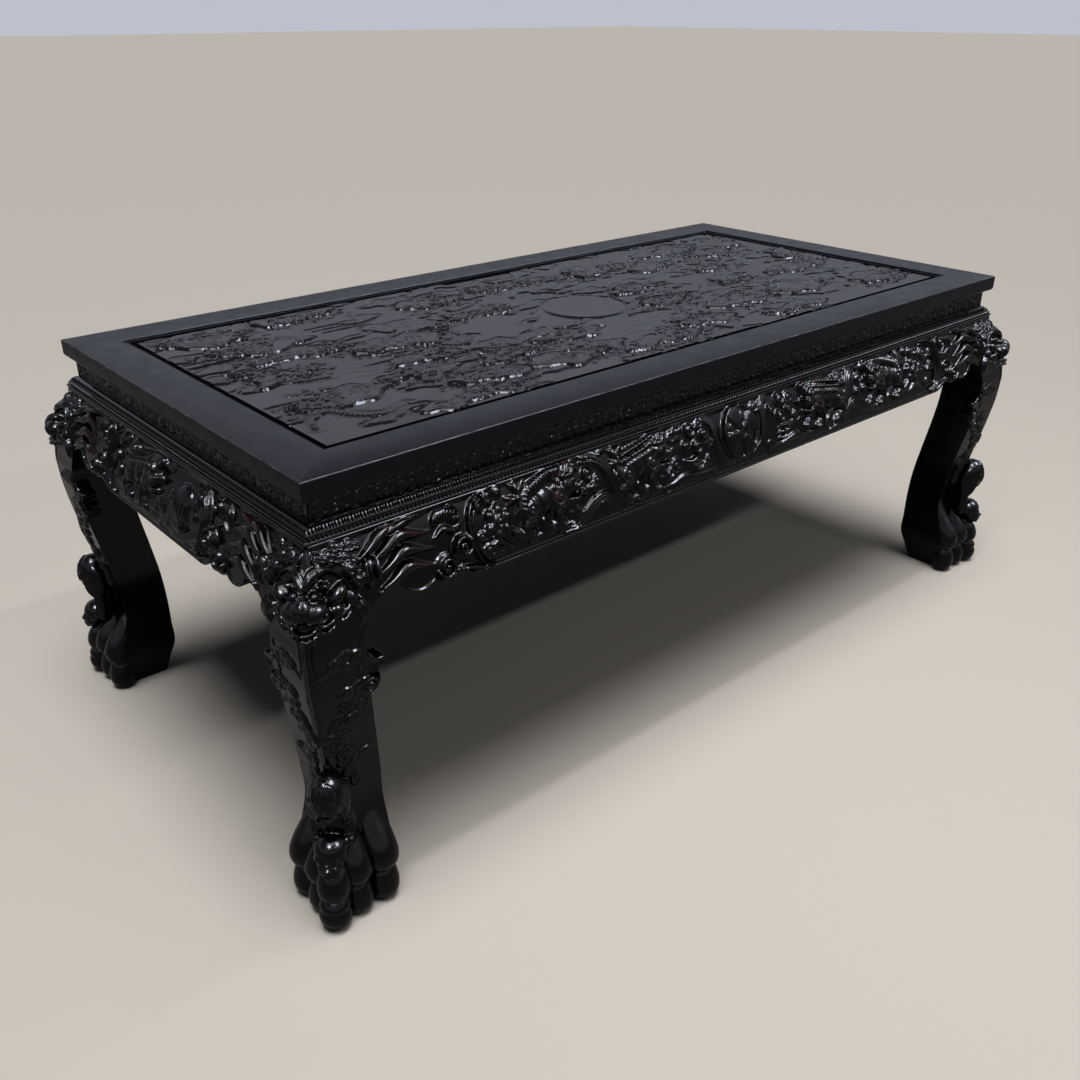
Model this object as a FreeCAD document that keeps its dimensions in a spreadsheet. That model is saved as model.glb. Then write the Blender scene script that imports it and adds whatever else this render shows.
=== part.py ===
"""Carved hardwood painting table: a waisted table with swelled aprons, cabriole legs and paw feet.

Millimetres, +Z up, origin on the floor under the middle of the top, X along the length, front at -Y.
Every size is a cell of the sheet "sizes", and every feature is bound to those cells by expressions.
The front left quarter is drawn, and the other corners and sides are mirrored from it.
"""

import FreeCAD, Part
import math
import os
import re

import Sketcher

SIZES = {
    # overall, measured at the edge of the top
    "top_length": 2000,
    "top_width": 980,
    "table_height": 810,
    # frame of the top
    "rail_width": 100,
    "rail_thickness": 38,
    "edge_flat": 28,
    "edge_cove": 14,
    "rebate_width": 9,
    "rebate_depth": 4,
    "corner_tenon_width": 40,
    "corner_tenon_thickness": 12,
    "corner_tenon_setback": 30,
    "corner_tenon_end": 26,
    "corner_tenon_drop": 10,
    # floating panel of three boards
    "panel_thickness": 15,
    "field_drop": 5,
    "cloud_rise": 3.5,
    "disc_radius": 98,
    "disc_rise": 1,
    "border_drop": 7,
    "border_width": 8,
    "tongue_thickness": 8,
    "tongue_length": 10,
    "tongue_drop": 2,
    "seam_tongue_thickness": 5,
    "seam_tongue_length": 6,
    "seam_rise": 1.5,
    # battens under the panel
    "batten_end_gap": 225,
    "batten_width": 50,
    "dovetail_neck": 34,
    "dovetail_head": 42,
    "dovetail_depth": 5,
    "batten_tenon_length": 16,
    "batten_tenon_thickness": 10,
    "batten_tenon_rise": 4,
    "batten_shoulder": 6,
    # waist boards
    "waist_height": 40,
    "waist_thickness": 20,
    "waist_inset": 16,
    "waist_tongue": 6,
    # moulding under the waist
    "moulding_height": 24,
    "moulding_proud": 3,
    "moulding_step": 4,
    "moulding_face": 7,
    "moulding_lap": 2,
    # aprons
    "apron_height": 130,
    "apron_top_out": 4,
    "apron_swell_out": 50,
    "swell_radius": 270,
    "apron_thickness": 36,
    "apron_foot": 32,
    "apron_back_height": 68,
    # main raised forms of the aprons' carving, measured down from the shoulder
    "figure_drop": 53,
    "ball_radius": 52,
    "ball_out": 8,
    "melon_radius": 33,
    "melon_out": 11,
    "blossom_radius": 24,
    "blossom_out": 8,
    "volute_radius": 20,
    "volute_out": 7,
    "volute_setback": 222,
    "volute_drop": 92,
    "volute_pitch": 40,
    "volute_rise": 18,
    # arch, hook and scrolls at each end of an apron
    "arch_rise": 37,
    "arch_radius": 75,
    "hook_step": 4,
    "hook_fall": 7,
    "hook_width": 60,
    "hook_drop": 18,
    "scroll_width": 57,
    "scroll_drop": 11,
    "lobe_radius": 38,
    "lip_width": 46,
    "lip_radius": 45,
    # legs
    "shoulder_inner": 98,
    "knee_inner": 58,
    "ankle_inner": 90,
    "ankle_out": 10,
    "ankle_height": 190,
    "paw_core_out": 36,
    "paw_height": 85,
    "foot_tuck": 8,
    "foot_flat": 66,
    "leg_tenon_height": 12,
    "leg_tenon_thickness": 12,
    "leg_tenon_length": 28,
    "tenon_wall": 6,
    "knee_scroll_radius": 20,
    "knee_scroll_offset": 2,
    "knee_scroll_drop": 86,
    "knee_scroll_depth": 40,
    "knee_spur_radius": 14,
    "knee_spur_offset": 14,
    "knee_spur_drop": 40,
    "knee_spur_recess": 6,
    "knee_spur_depth": 28,
    # toes of the paw
    "paw_out": 61,
    "toe_start": 69,
    "toe_pitch": 53,
    "toe_width": 31,
    "toe_reach": 31,
    "corner_toe_inset": 25,
    "knuckle_height": 106,
    "knuckle_rise": 64,
    "corner_knuckle_height": 64,
    "corner_knuckle_rise": 44,
    "pad_height": 34,
    "pad_rise": 36,
    # crouching lion on each ankle
    "lion_height": 215,
    "lion_body_rise": 74,
    "lion_body_width": 37,
    "lion_body_depth": 36,
    "lion_head_drop": 82,
    "lion_head_radius": 31,
    "lion_rump_rise": 42,
    "lion_rump_radius": 38,
    "lion_tail_rise": 84,
    "lion_spine_out": 14,
    "lion_rump_out": 22,
    "lion_head_out": 29,
    "lion_tail_out": 12,
    "lion_tail_radius": 16,
    "lion_tail_length": 34,
    "lion_chest_drop": 10,
    "forepaw_out": 22,
    "forepaw_spread": 16,
    "forepaw_radius": 15,
    "forepaw_length": 34,
    "forepaw_rise": 8,
    # keys and dowels
    "key_length": 46,
    "key_depth": 8,
    "key_waist": 8,
    "key_flare": 14,
    "key_setback": 67,
    "key_drop": 8,
    "dowel_radius": 3,
    "dowel_in_waist": 15,
    "dowel_in_apron": 20,
    "long_dowel_setback": 400,
    "end_dowel_setback": 310,
    "peg_radius": 5,
    "peg_in_leg": 25,
    "peg_in_lion": 22,
    "peg_seat": 3,
    # clearances
    "joint_clearance": 0.2,
    "panel_gap": 1.5,
}

# Levels and setbacks that several pieces share, as expressions.
# A setback is measured inwards from the edge of the top.
RAIL_BOTTOM = "(table_height - rail_thickness)"
WAIST_BOTTOM = f"({RAIL_BOTTOM} - waist_height)"
SHOULDER = f"({WAIST_BOTTOM} - moulding_height)"
APRON_BOTTOM = f"({SHOULDER} - apron_height)"
ARCH_TOP = f"({APRON_BOTTOM} + arch_rise)"
KNEE = f"({ARCH_TOP} - arch_radius)"
PANEL_BOTTOM = "(table_height - field_drop - panel_thickness)"
TONGUE_BOTTOM = "(table_height - border_drop - tongue_drop - tongue_thickness)"
POST_FACE = "(waist_inset + waist_thickness)"
HALF_LENGTH = "(top_length / 2)"
HALF_WIDTH = "(top_width / 2)"
# How far a cutting tool reaches past the swell, and how far a hidden root or cutter laps a neighbour.
TOOL_REACH = 40
OVERCUT = f"(apron_swell_out + {TOOL_REACH})"
LAP = 1

doc = FreeCAD.newDocument("painting_table")
sheet = doc.addObject("Spreadsheet::Sheet", "sizes")
for row, (alias, size) in enumerate(SIZES.items(), start=1):
    sheet.set(f"A{row}", alias)
    sheet.set(f"B{row}", str(size))
    sheet.setAlias(f"B{row}", alias)
working = doc.addObject("Spreadsheet::Sheet", "working")
doc.recompute()


# Expressions

CELLS = {alias: "sizes." + alias for alias in SIZES}


def full(expression):
    """The expression with each size written as a cell of the sheet."""
    return re.sub(r"[a-z_]+", lambda word: CELLS.get(word.group(), word.group()), expression)


def value(expression):
    """The expression's number, worked out in a cell of its own, for a sketch's first points."""
    working.set("A1", "=" + full(expression))
    working.recompute()
    return float(working.get("A1"))


def bind(thing, prop, expression):
    thing.setExpression(prop, full(expression))


def swell(level):
    """How far the swelled face stands out from the edge of the top at a level, on the arc of the apron."""
    chord = "sqrt((apron_swell_out - apron_top_out)^2 + apron_height^2)"
    reach = f"sqrt(swell_radius^2 - ({chord})^2 / 4)"
    centre_out = f"((apron_top_out + apron_swell_out) / 2 - {reach} * apron_height / {chord})"
    centre_level = (
        f"({SHOULDER} - apron_height / 2 - {reach} * (apron_swell_out - apron_top_out) / {chord})"
    )
    return f"({centre_out} + sqrt(swell_radius^2 - ({level} - {centre_level})^2))"


# Sketches and solids

def plane(body, role):
    return next(f for f in body.Origin.OriginFeatures if f.Role == role)


def arc_geometry(start, end, radius):
    """The smaller arc from start to end. Its centre lies left of the way for a positive radius."""
    chord = end - start
    left = FreeCAD.Vector(-chord.y, chord.x, 0).normalize()
    reach = math.sqrt(max(radius * radius - chord.Length ** 2 / 4, 0.0))
    side = 1 if radius > 0 else -1
    centre = (start + end) / 2 + left * (side * reach)
    first, last = (start, end) if side > 0 else (end, start)
    angles = [math.atan2(p.y - centre.y, p.x - centre.x) for p in (first, last)]
    if angles[1] < angles[0]:
        angles[1] += 2 * math.pi
    circle = Part.Circle(centre, FreeCAD.Vector(0, 0, 1), abs(radius))
    return Part.ArcOfCircle(circle, angles[0], angles[1])


def sketch_loops(body, name, role, loops, offset=None):
    """A sketch of closed loops. A loop is a list of (x, y) or (x, y, radius), where the radius bends
    the side that leads to that point, and each coordinate and radius is an expression."""
    sketch = body.newObject("Sketcher::SketchObject", name)
    sketch.AttachmentSupport = [(plane(body, role), "")]
    sketch.MapMode = "FlatFace"
    if offset is not None:
        bind(sketch, "AttachmentOffset.Base.z", offset)
    for loop in loops:
        corners = [FreeCAD.Vector(value(p[0]), value(p[1]), 0) for p in loop]
        first = sketch.GeometryCount
        ends = []
        for i in range(len(loop)):
            target = (i + 1) % len(loop)
            bend = loop[target][2] if len(loop[target]) > 2 else None
            if bend is None:
                sketch.addGeometry(Part.LineSegment(corners[i], corners[target]))
                ends.append((1, 2))
            else:
                radius = value(bend)
                sketch.addGeometry(arc_geometry(corners[i], corners[target], radius))
                ends.append((1, 2) if radius > 0 else (2, 1))
                number = sketch.addConstraint(Sketcher.Constraint("Radius", first + i, abs(radius)))
                bind(sketch, f"Constraints[{number}]", f"abs({bend})")
        for i, point in enumerate(loop):
            before = (i - 1) % len(loop)
            here = (first + i, ends[i][0])
            sketch.addConstraint(Sketcher.Constraint("Coincident", first + before, ends[before][1], *here))
            for kind, size in (("DistanceX", point[0]), ("DistanceY", point[1])):
                number = sketch.addConstraint(Sketcher.Constraint(kind, -1, 1, *here, value(size)))
                bind(sketch, f"Constraints[{number}]", size)
    return sketch


def new_body(name):
    return doc.addObject("PartDesign::Body", name)


def pad(body, sketch, length, symmetric=True):
    feature = body.newObject("PartDesign::Pad", "Pad")
    feature.Profile = sketch
    feature.SideType = "Symmetric" if symmetric else "One side"
    bind(feature, "Length", length)
    doc.recompute()
    return feature


def pocket(body, sketch):
    """Cuts the sketch right through the body, both ways, and checks that something was cut."""
    before = body.Shape.Volume
    feature = body.newObject("PartDesign::Pocket", "Pocket")
    feature.Profile = sketch
    feature.SideType = "Symmetric"
    feature.Type = "ThroughAll"
    doc.recompute()
    if not body.Shape.Volume < before:
        raise RuntimeError(f"{body.Name}: {sketch.Name} cuts nothing")
    return feature


def block(name, x, y, z):
    """A box between two expressions on each axis."""
    box = doc.addObject("Part::Box", name)
    for side, axis, (low, high) in (("Length", "x", x), ("Width", "y", y), ("Height", "z", z)):
        bind(box, side, f"({high}) - ({low})")
        bind(box, f"Placement.Base.{axis}", low)
    return box


def rod(name, radius, x, y, z, length):
    """An upright round rod standing on (x, y, z)."""
    cylinder = doc.addObject("Part::Cylinder", name)
    bind(cylinder, "Radius", radius)
    bind(cylinder, "Height", length)
    for axis, place in (("x", x), ("y", y), ("z", z)):
        bind(cylinder, f"Placement.Base.{axis}", place)
    return cylinder


def group(name, members):
    compound = doc.addObject("Part::Compound", name)
    compound.Links = list(members)
    return compound


def fuse(name, members):
    joined = doc.addObject("Part::MultiFuse", name)
    joined.Shapes = list(members)
    return joined


def cut(name, base, tools):
    remainder = doc.addObject("Part::Cut", name)
    remainder.Base = base
    remainder.Tool = tools[0] if len(tools) == 1 else group(name + "_tools", tools)
    doc.recompute()
    return remainder


def mirror(name, source, normal):
    copy = doc.addObject("Part::Mirroring", name)
    copy.Source = source
    copy.Normal = FreeCAD.Vector(*normal)
    return copy


ACROSS_X = (1, 0, 0)
ACROSS_Y = (0, 1, 0)
sub_parts = []


def keep(thing, label):
    """Names a finished sub-part."""
    thing.Label = label
    sub_parts.append(thing)
    return thing


# A bar runs along one side of the table. Its section is drawn as (setback, level) points.

def bar(name, side, section):
    """The bar of the front or the left side, mitred at both corners of the table."""
    body = new_body(name)
    role, half, other = {
        "front": ("YZ_Plane", HALF_WIDTH, HALF_LENGTH),
        "left": ("XZ_Plane", HALF_LENGTH, HALF_WIDTH),
    }[side]
    outline = [(f"{p[0]} - {half}", *p[1:]) for p in section]
    pad(body, sketch_loops(body, name + "_section", role, [outline]), f"2 * ({other} + {OVERCUT})")
    low = f"-{OVERCUT}"
    high = f"(rail_width + {OVERCUT})"
    loops = []
    for end in (-1, 1):
        along = [f"{end} * ({other} - {s})" for s in (low, high, low)]
        across = [f"{s} - {half}" for s in (low, high, high)]
        points = list(zip(along, across)) if side == "front" else list(zip(across, along))
        loops.append(points if (end < 0) == (side == "front") else points[::-1])
    pocket(body, sketch_loops(body, name + "_mitres", "XY_Plane", loops))
    return body


def side_box(name, side, along, setback, level):
    """A box given by its place along a side, its setback and its level."""
    half = HALF_WIDTH if side == "front" else HALF_LENGTH
    across = tuple(f"{s} - {half}" for s in setback)
    return block(name, along, across, level) if side == "front" else block(name, across, along, level)


def corner_box(name, setback_x, setback_y, level):
    """A box at the front left corner, given by its two setbacks and its level."""
    x = tuple(f"{s} - {HALF_LENGTH}" for s in setback_x)
    y = tuple(f"{s} - {HALF_WIDTH}" for s in setback_y)
    return block(name, x, y, level)


def grown(pair, allowance="joint_clearance"):
    return (f"{pair[0]} - {allowance}", f"{pair[1]} + {allowance}")


# Frame of the top: a long rail on each side and an end rail at each end, tenoned into them

RAIL_SECTION = [
    ("0", "table_height"),
    ("0", "table_height - edge_flat"),
    ("edge_cove", RAIL_BOTTOM, "-(rail_thickness - edge_flat + edge_cove)"),
    ("rail_width", RAIL_BOTTOM),
    ("rail_width", f"{TONGUE_BOTTOM} - joint_clearance"),
    ("rail_width - tongue_length - panel_gap", f"{TONGUE_BOTTOM} - joint_clearance"),
    ("rail_width - tongue_length - panel_gap", f"{TONGUE_BOTTOM} + tongue_thickness + joint_clearance"),
    ("rail_width", f"{TONGUE_BOTTOM} + tongue_thickness + joint_clearance"),
    ("rail_width", "table_height - rebate_depth"),
    ("rail_width - rebate_width", "table_height - rebate_depth"),
    ("rail_width - rebate_width", "table_height"),
]
CORNER_TENON = ("corner_tenon_setback", "corner_tenon_setback + corner_tenon_width")
CORNER_TENON_LEVEL = ("table_height - corner_tenon_drop - corner_tenon_thickness",
                      "table_height - corner_tenon_drop")
LEG_TENON_ACROSS = (f"{POST_FACE} + tenon_wall", f"{POST_FACE} + tenon_wall + leg_tenon_thickness")
LEG_TENON_ALONG = (f"{LEG_TENON_ACROSS[1]} + tenon_wall",
                   f"{LEG_TENON_ACROSS[1]} + tenon_wall + leg_tenon_length")
LEG_TENON_LEVEL = (RAIL_BOTTOM, f"{RAIL_BOTTOM} + leg_tenon_height")
WAIST_TONGUE = ("waist_inset + waist_thickness / 2 - waist_tongue / 2",
                "waist_inset + waist_thickness / 2 + waist_tongue / 2")
OUTER_BATTEN = f"({HALF_LENGTH} - rail_width - batten_end_gap)"
BATTEN_PLACES = [f"{k} * {OUTER_BATTEN} / 3" for k in (-3, -1, 1, 3)]
BATTEN_TENON_HALF = "(batten_width / 2 - batten_shoulder)"
BATTEN_TENON_LEVEL = (f"{RAIL_BOTTOM} + batten_tenon_rise",
                      f"{RAIL_BOTTOM} + batten_tenon_rise + batten_tenon_thickness")


def waist_groove(side):
    reach = f"({HALF_LENGTH if side == 'front' else HALF_WIDTH} - waist_inset)"
    level = (f"{RAIL_BOTTOM} - {LAP}", f"{RAIL_BOTTOM} + waist_tongue + joint_clearance")
    return side_box(f"waist_groove_{side}", side, (f"-{reach}", reach), grown(WAIST_TONGUE), level)


def tenon_into_long_rail(name, allowance):
    """The tenon of the left end rail in the front rail, from inside the end rail to its blind end."""
    return corner_box(name, grown(CORNER_TENON, allowance),
                      (f"corner_tenon_end - ({allowance})", f"{CORNER_TENON[1]} + {LAP}"),
                      grown(CORNER_TENON_LEVEL, allowance))


def leg_tenon(name, side, allowance):
    """The tenon on the top of the front left leg that enters the rail of one side."""
    across = grown(LEG_TENON_ACROSS, allowance)
    along = grown(LEG_TENON_ALONG, allowance)
    level = (f"{LEG_TENON_LEVEL[0]} - {LAP}", f"{LEG_TENON_LEVEL[1]} + ({allowance})")
    setbacks = (along, across) if side == "front" else (across, along)
    return corner_box(name, *setbacks, level)


def build_frame():
    corner_mortise = tenon_into_long_rail("corner_mortise", "joint_clearance")
    front_mortise = leg_tenon("leg_mortise_front", "front", "joint_clearance")
    left_mortise = leg_tenon("leg_mortise_left", "left", "joint_clearance")
    batten_mortises = [
        side_box(f"batten_mortise_{i}", "front",
                 grown((f"{x} - {BATTEN_TENON_HALF}", f"{x} + {BATTEN_TENON_HALF}")),
                 ("rail_width - batten_tenon_length - joint_clearance", f"rail_width + {LAP}"),
                 grown(BATTEN_TENON_LEVEL))
        for i, x in enumerate(BATTEN_PLACES, start=1)
    ]
    rail = cut("front_rail_cut", bar("front_rail_bar", "front", RAIL_SECTION), [
        corner_mortise, mirror("corner_mortise_right", corner_mortise, ACROSS_X),
        front_mortise, mirror("leg_mortise_right", front_mortise, ACROSS_X),
        waist_groove("front"), *batten_mortises])
    keep(rail, "frame_rail_front")
    keep(mirror("back_rail", rail, ACROSS_Y), "frame_rail_back")
    tenon = tenon_into_long_rail("corner_tenon", "0")
    end_bar = cut("left_end_cut", bar("left_end_bar", "left", RAIL_SECTION), [
        left_mortise, mirror("leg_mortise_back", left_mortise, ACROSS_Y), waist_groove("left")])
    end_rail = fuse("left_end_rail", [end_bar, tenon, mirror("corner_tenon_back", tenon, ACROSS_Y)])
    keep(end_rail, "frame_end_left")
    keep(mirror("right_end_rail", end_rail, ACROSS_X), "frame_end_right")


# Floating panel: three boards with tongues between them, on four dovetailed battens

def dovetail(name, x, allowance, length):
    """The dovetail head of a batten, along Y."""
    body = new_body(name)
    top = f"{PANEL_BOTTOM} + dovetail_depth + ({allowance})"
    half_neck = f"(dovetail_neck / 2 + ({allowance}))"
    half_head = f"(dovetail_head / 2 + ({allowance}))"
    outline = [
        (f"{x} - {half_neck}", f"{PANEL_BOTTOM} - {LAP}"),
        (f"{x} + {half_neck}", f"{PANEL_BOTTOM} - {LAP}"),
        (f"{x} + {half_head}", top),
        (f"{x} - {half_head}", top),
    ]
    pad(body, sketch_loops(body, name + "_section", "XZ_Plane", [outline]), length)
    return body


# Low cloud banks of the field, as shares of half its length and width: centre, then half sizes
CLOUD_BANKS = {
    "front": (
        (-0.83, -0.49, 0.10, 0.12), (-0.60, -0.46, 0.07, 0.10), (-0.52, -0.67, 0.09, 0.10),
        (-0.32, -0.72, 0.10, 0.10), (-0.64, -0.88, 0.13, 0.06), (-0.40, -0.46, 0.06, 0.10),
        (-0.20, -0.43, 0.10, 0.07), (-0.06, -0.79, 0.12, 0.09), (0.15, -0.70, 0.07, 0.09),
        (0.37, -0.53, 0.10, 0.11), (0.60, -0.53, 0.12, 0.13), (0.43, -0.85, 0.10, 0.07),
        (0.87, -0.72, 0.10, 0.13),
    ),
    "middle": (
        (-0.75, 0.23, 0.10, 0.08), (-0.52, 0.08, 0.12, 0.12), (-0.87, -0.02, 0.06, 0.15),
        (-0.56, -0.21, 0.07, 0.10), (-0.24, 0.25, 0.10, 0.06), (0.25, 0.10, 0.07, 0.08),
        (0.23, -0.24, 0.09, 0.07), (0.53, -0.15, 0.07, 0.10), (0.60, 0.17, 0.07, 0.08),
        (0.81, -0.19, 0.11, 0.10), (0.92, 0.15, 0.05, 0.15),
    ),
    "back": (
        (-0.85, 0.76, 0.10, 0.13), (-0.61, 0.86, 0.13, 0.08), (-0.77, 0.45, 0.11, 0.10),
        (-0.28, 0.66, 0.08, 0.12), (-0.06, 0.67, 0.07, 0.07), (0.12, 0.63, 0.07, 0.06),
        (0.31, 0.63, 0.10, 0.13), (0.48, 0.46, 0.08, 0.10), (0.66, 0.74, 0.12, 0.13),
        (0.88, 0.70, 0.09, 0.15), (0.76, 0.45, 0.07, 0.09),
    ),
}
DISC_PLACE = (0.015, -0.025)
BANK_CORNERS = ((1, 0.4), (0.4, 1), (-0.4, 1), (-1, 0.4), (-1, -0.4), (-0.4, -1), (0.4, -1), (1, -0.4))


def cloud_bank(name, share, inner_x, inner_y):
    """A low eight-sided bank that stands on the field."""
    x, y, half_x, half_y = share
    body = new_body(name)
    outline = [(f"{x + u * half_x:.4f} * {inner_x}", f"{y + v * half_y:.4f} * {inner_y}")
               for u, v in BANK_CORNERS]
    foot = f"table_height - field_drop - {LAP}"
    sketch = sketch_loops(body, name + "_outline", "XY_Plane", [outline], foot)
    pad(body, sketch, f"cloud_rise + {LAP}", symmetric=False)
    return body


def build_panel():
    inner_x = f"({HALF_LENGTH} - rail_width)"
    inner_y = f"({HALF_WIDTH} - rail_width)"
    third = f"({inner_y} / 3)"
    right_across = f"2 * ({inner_y} + tongue_length + {LAP})"
    sockets = [dovetail(f"batten_socket_{i}", x, "joint_clearance", right_across)
               for i, x in enumerate(BATTEN_PLACES, start=1)]
    tongue_level = (TONGUE_BOTTOM, f"{TONGUE_BOTTOM} + tongue_thickness")
    seam_bottom = f"{PANEL_BOTTOM} + dovetail_depth + seam_rise"
    seam_level = (seam_bottom, f"{seam_bottom} + seam_tongue_thickness")
    border = f"({inner_x} - border_width)"
    edges = [f"-{inner_y}", f"-{third}", third, inner_y]
    for i, place in enumerate(("front", "middle", "back")):
        low, high = edges[i], edges[i + 1]
        core = (f"{low} - tongue_length" if i == 0 else low, f"{high} + tongue_length" if i == 2 else high)
        field = (f"{low} + border_width" if i == 0 else low, f"{high} - border_width" if i == 2 else high)
        raised = (f"{PANEL_BOTTOM} + dovetail_depth", "table_height - field_drop")
        pieces = [
            block(f"board_{place}_base", (f"-{inner_x}", inner_x), (low, high),
                  (PANEL_BOTTOM, "table_height - border_drop")),
            block(f"board_{place}_tongue", (f"-({inner_x} + tongue_length)", f"{inner_x} + tongue_length"),
                  core, tongue_level),
            block(f"board_{place}_field", (f"-{border}", border), field, raised),
        ]
        for k, share in enumerate(CLOUD_BANKS[place]):
            pieces.append(cloud_bank(f"board_{place}_bank_{k}", share, inner_x, inner_y))
        if place == "middle":
            pieces.append(rod("panel_disc", "disc_radius", f"{DISC_PLACE[0]} * {inner_x}",
                              f"{DISC_PLACE[1]} * {inner_y}", f"table_height - field_drop - {LAP}",
                              f"disc_rise + {LAP}"))
        if i > 0:
            pieces.append(block(f"board_{place}_seam_tongue", (f"-{inner_x}", inner_x),
                                (f"{low} - seam_tongue_length", f"{low} + {LAP}"), seam_level))
        tools = list(sockets)
        if i < 2:
            groove = (f"{high} - seam_tongue_length - joint_clearance", f"{high} + {LAP}")
            tools.append(block(f"board_{place}_seam_groove", (f"-{inner_x}", inner_x),
                               groove, grown(seam_level)))
        keep(cut(f"board_{place}", fuse(f"board_{place}_blank", pieces), tools), f"panel_board_{place}")
    for i, x in enumerate(BATTEN_PLACES, start=1):
        half = "(batten_width / 2)"
        body = block(f"batten_{i}_body", (f"{x} - {half}", f"{x} + {half}"), (f"-{inner_y}", inner_y),
                     (RAIL_BOTTOM, PANEL_BOTTOM))
        tenon = block(f"batten_{i}_tenon", (f"{x} - {BATTEN_TENON_HALF}", f"{x} + {BATTEN_TENON_HALF}"),
                      (f"-({inner_y} + batten_tenon_length)", f"{inner_y} + batten_tenon_length"),
                      BATTEN_TENON_LEVEL)
        head = dovetail(f"batten_{i}_dovetail", x, "0", f"2 * {inner_y}")
        keep(fuse(f"batten_{i}", [body, tenon, head]), f"panel_batten_{i}")


# Waist boards and the moulding under them, with dowels that line them up on the aprons

DOWEL_SETBACK = "(waist_inset + waist_thickness / 2 - dowel_radius)"
MOULDING_SECTION = [
    (POST_FACE, WAIST_BOTTOM),
    (POST_FACE, SHOULDER),
    ("0", SHOULDER),
    ("-moulding_proud", f"{SHOULDER} + moulding_step"),
    ("-moulding_proud", f"{SHOULDER} + moulding_step + moulding_face"),
    ("waist_inset - moulding_lap", WAIST_BOTTOM, "-(waist_inset + moulding_proud)"),
]
WAIST_SECTION = [
    (POST_FACE, RAIL_BOTTOM),
    (POST_FACE, WAIST_BOTTOM),
    ("waist_inset", WAIST_BOTTOM),
    ("waist_inset", RAIL_BOTTOM),
    (WAIST_TONGUE[0], RAIL_BOTTOM),
    (WAIST_TONGUE[0], f"{RAIL_BOTTOM} + waist_tongue"),
    (WAIST_TONGUE[1], f"{RAIL_BOTTOM} + waist_tongue"),
    (WAIST_TONGUE[1], RAIL_BOTTOM),
]
LONG_DOWELS = [f"{k} * ({HALF_LENGTH} - long_dowel_setback) / 3" for k in (-3, -1, 1, 3)]
END_DOWELS = [f"{k} * ({HALF_WIDTH} - end_dowel_setback)" for k in (-1, 1)]


def dowels(name, side, allowance):
    """The dowels of one side, from the apron up into the waist board."""
    half = HALF_WIDTH if side == "front" else HALF_LENGTH
    across = f"{DOWEL_SETBACK} - {half}"
    level = f"{SHOULDER} - dowel_in_apron - ({allowance})"
    length = f"dowel_in_apron + moulding_height + dowel_in_waist + 2 * ({allowance})"
    made = []
    for i, place in enumerate(LONG_DOWELS if side == "front" else END_DOWELS, start=1):
        x, y = (place, across) if side == "front" else (across, place)
        made.append(rod(f"{name}_{side}_{i}", f"dowel_radius + ({allowance})", x, y, level, length))
    return made


def build_waist(holes):
    for side, opposite, normal in (("front", "back", ACROSS_Y), ("left", "right", ACROSS_X)):
        waist = cut(f"waist_{side}_cut", bar(f"waist_{side}_bar", side, WAIST_SECTION), holes[side])
        keep(waist, f"waist_{side}")
        keep(mirror(f"waist_{opposite}_copy", waist, normal), f"waist_{opposite}")
        moulding_bar = bar(f"moulding_{side}_bar", side, MOULDING_SECTION)
        moulding = cut(f"moulding_{side}_cut", moulding_bar, holes[side])
        keep(moulding, f"moulding_{side}")
        keep(mirror(f"moulding_{opposite}_copy", moulding, normal), f"moulding_{opposite}")
    pins = dowels("dowel", "front", "0") + dowels("dowel", "left", "0")
    copies = [mirror(p.Name + "_opposite", p, ACROSS_Y if "front" in p.Name else ACROSS_X) for p in pins]
    keep(group("dowel_group", pins + copies), "moulding_dowels")


# Swelled aprons, with an arch, a hook and scrolls cut into each end

APRON_SECTION = [
    ("apron_thickness - apron_top_out", SHOULDER),
    ("-apron_top_out", SHOULDER),
    ("-apron_swell_out", APRON_BOTTOM, "swell_radius"),
    ("-(apron_swell_out - apron_foot)", APRON_BOTTOM),
    ("apron_thickness - apron_top_out", f"{SHOULDER} - apron_back_height"),
]
# The seat of an apron in a leg has the apron's back and reaches past its face and top.
SEAT_SECTION = [
    ("apron_thickness - apron_top_out", f"{SHOULDER} + {LAP}"),
    (f"-{OVERCUT}", f"{SHOULDER} + {LAP}"),
    (f"-{OVERCUT}", APRON_BOTTOM),
    ("-(apron_swell_out - apron_foot)", APRON_BOTTOM),
    ("apron_thickness - apron_top_out", f"{SHOULDER} - apron_back_height"),
]
# The mitre on the face of an apron falls at 45 degrees from the top corner to the arch.
MITRE_SUM = f"({SHOULDER} - apron_top_out)"
ARCH_SETBACK = "(knee_inner + arch_radius)"
ARCH_FALL = f"({MITRE_SUM} - {KNEE})"
ARCH_ROOT = f"sqrt(2 * arch_radius^2 - ({ARCH_SETBACK} - {ARCH_FALL})^2)"
JOINT_SETBACK = f"(({ARCH_SETBACK} + {ARCH_FALL} - {ARCH_ROOT}) / 2)"


def apron_end(place):
    """The cut edge from the mitre to the straight bottom. place(setback) is a coordinate along the side."""
    hook = f"({ARCH_SETBACK} + hook_step)"
    scroll = f"({hook} + hook_width)"
    lip = f"({scroll} + scroll_width)"
    return [
        (place(f"-{OVERCUT}"), f"{MITRE_SUM} + {OVERCUT}"),
        (place(JOINT_SETBACK), f"{MITRE_SUM} - {JOINT_SETBACK}"),
        (place(ARCH_SETBACK), ARCH_TOP, "-arch_radius"),
        (place(hook), f"{ARCH_TOP} - hook_fall"),
        (place(scroll), f"{ARCH_TOP} - hook_drop", "lobe_radius"),
        (place(lip), f"{ARCH_TOP} - scroll_drop", "lobe_radius"),
        (place(f"({lip} + lip_width)"), APRON_BOTTOM, "lip_radius"),
    ]


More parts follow.
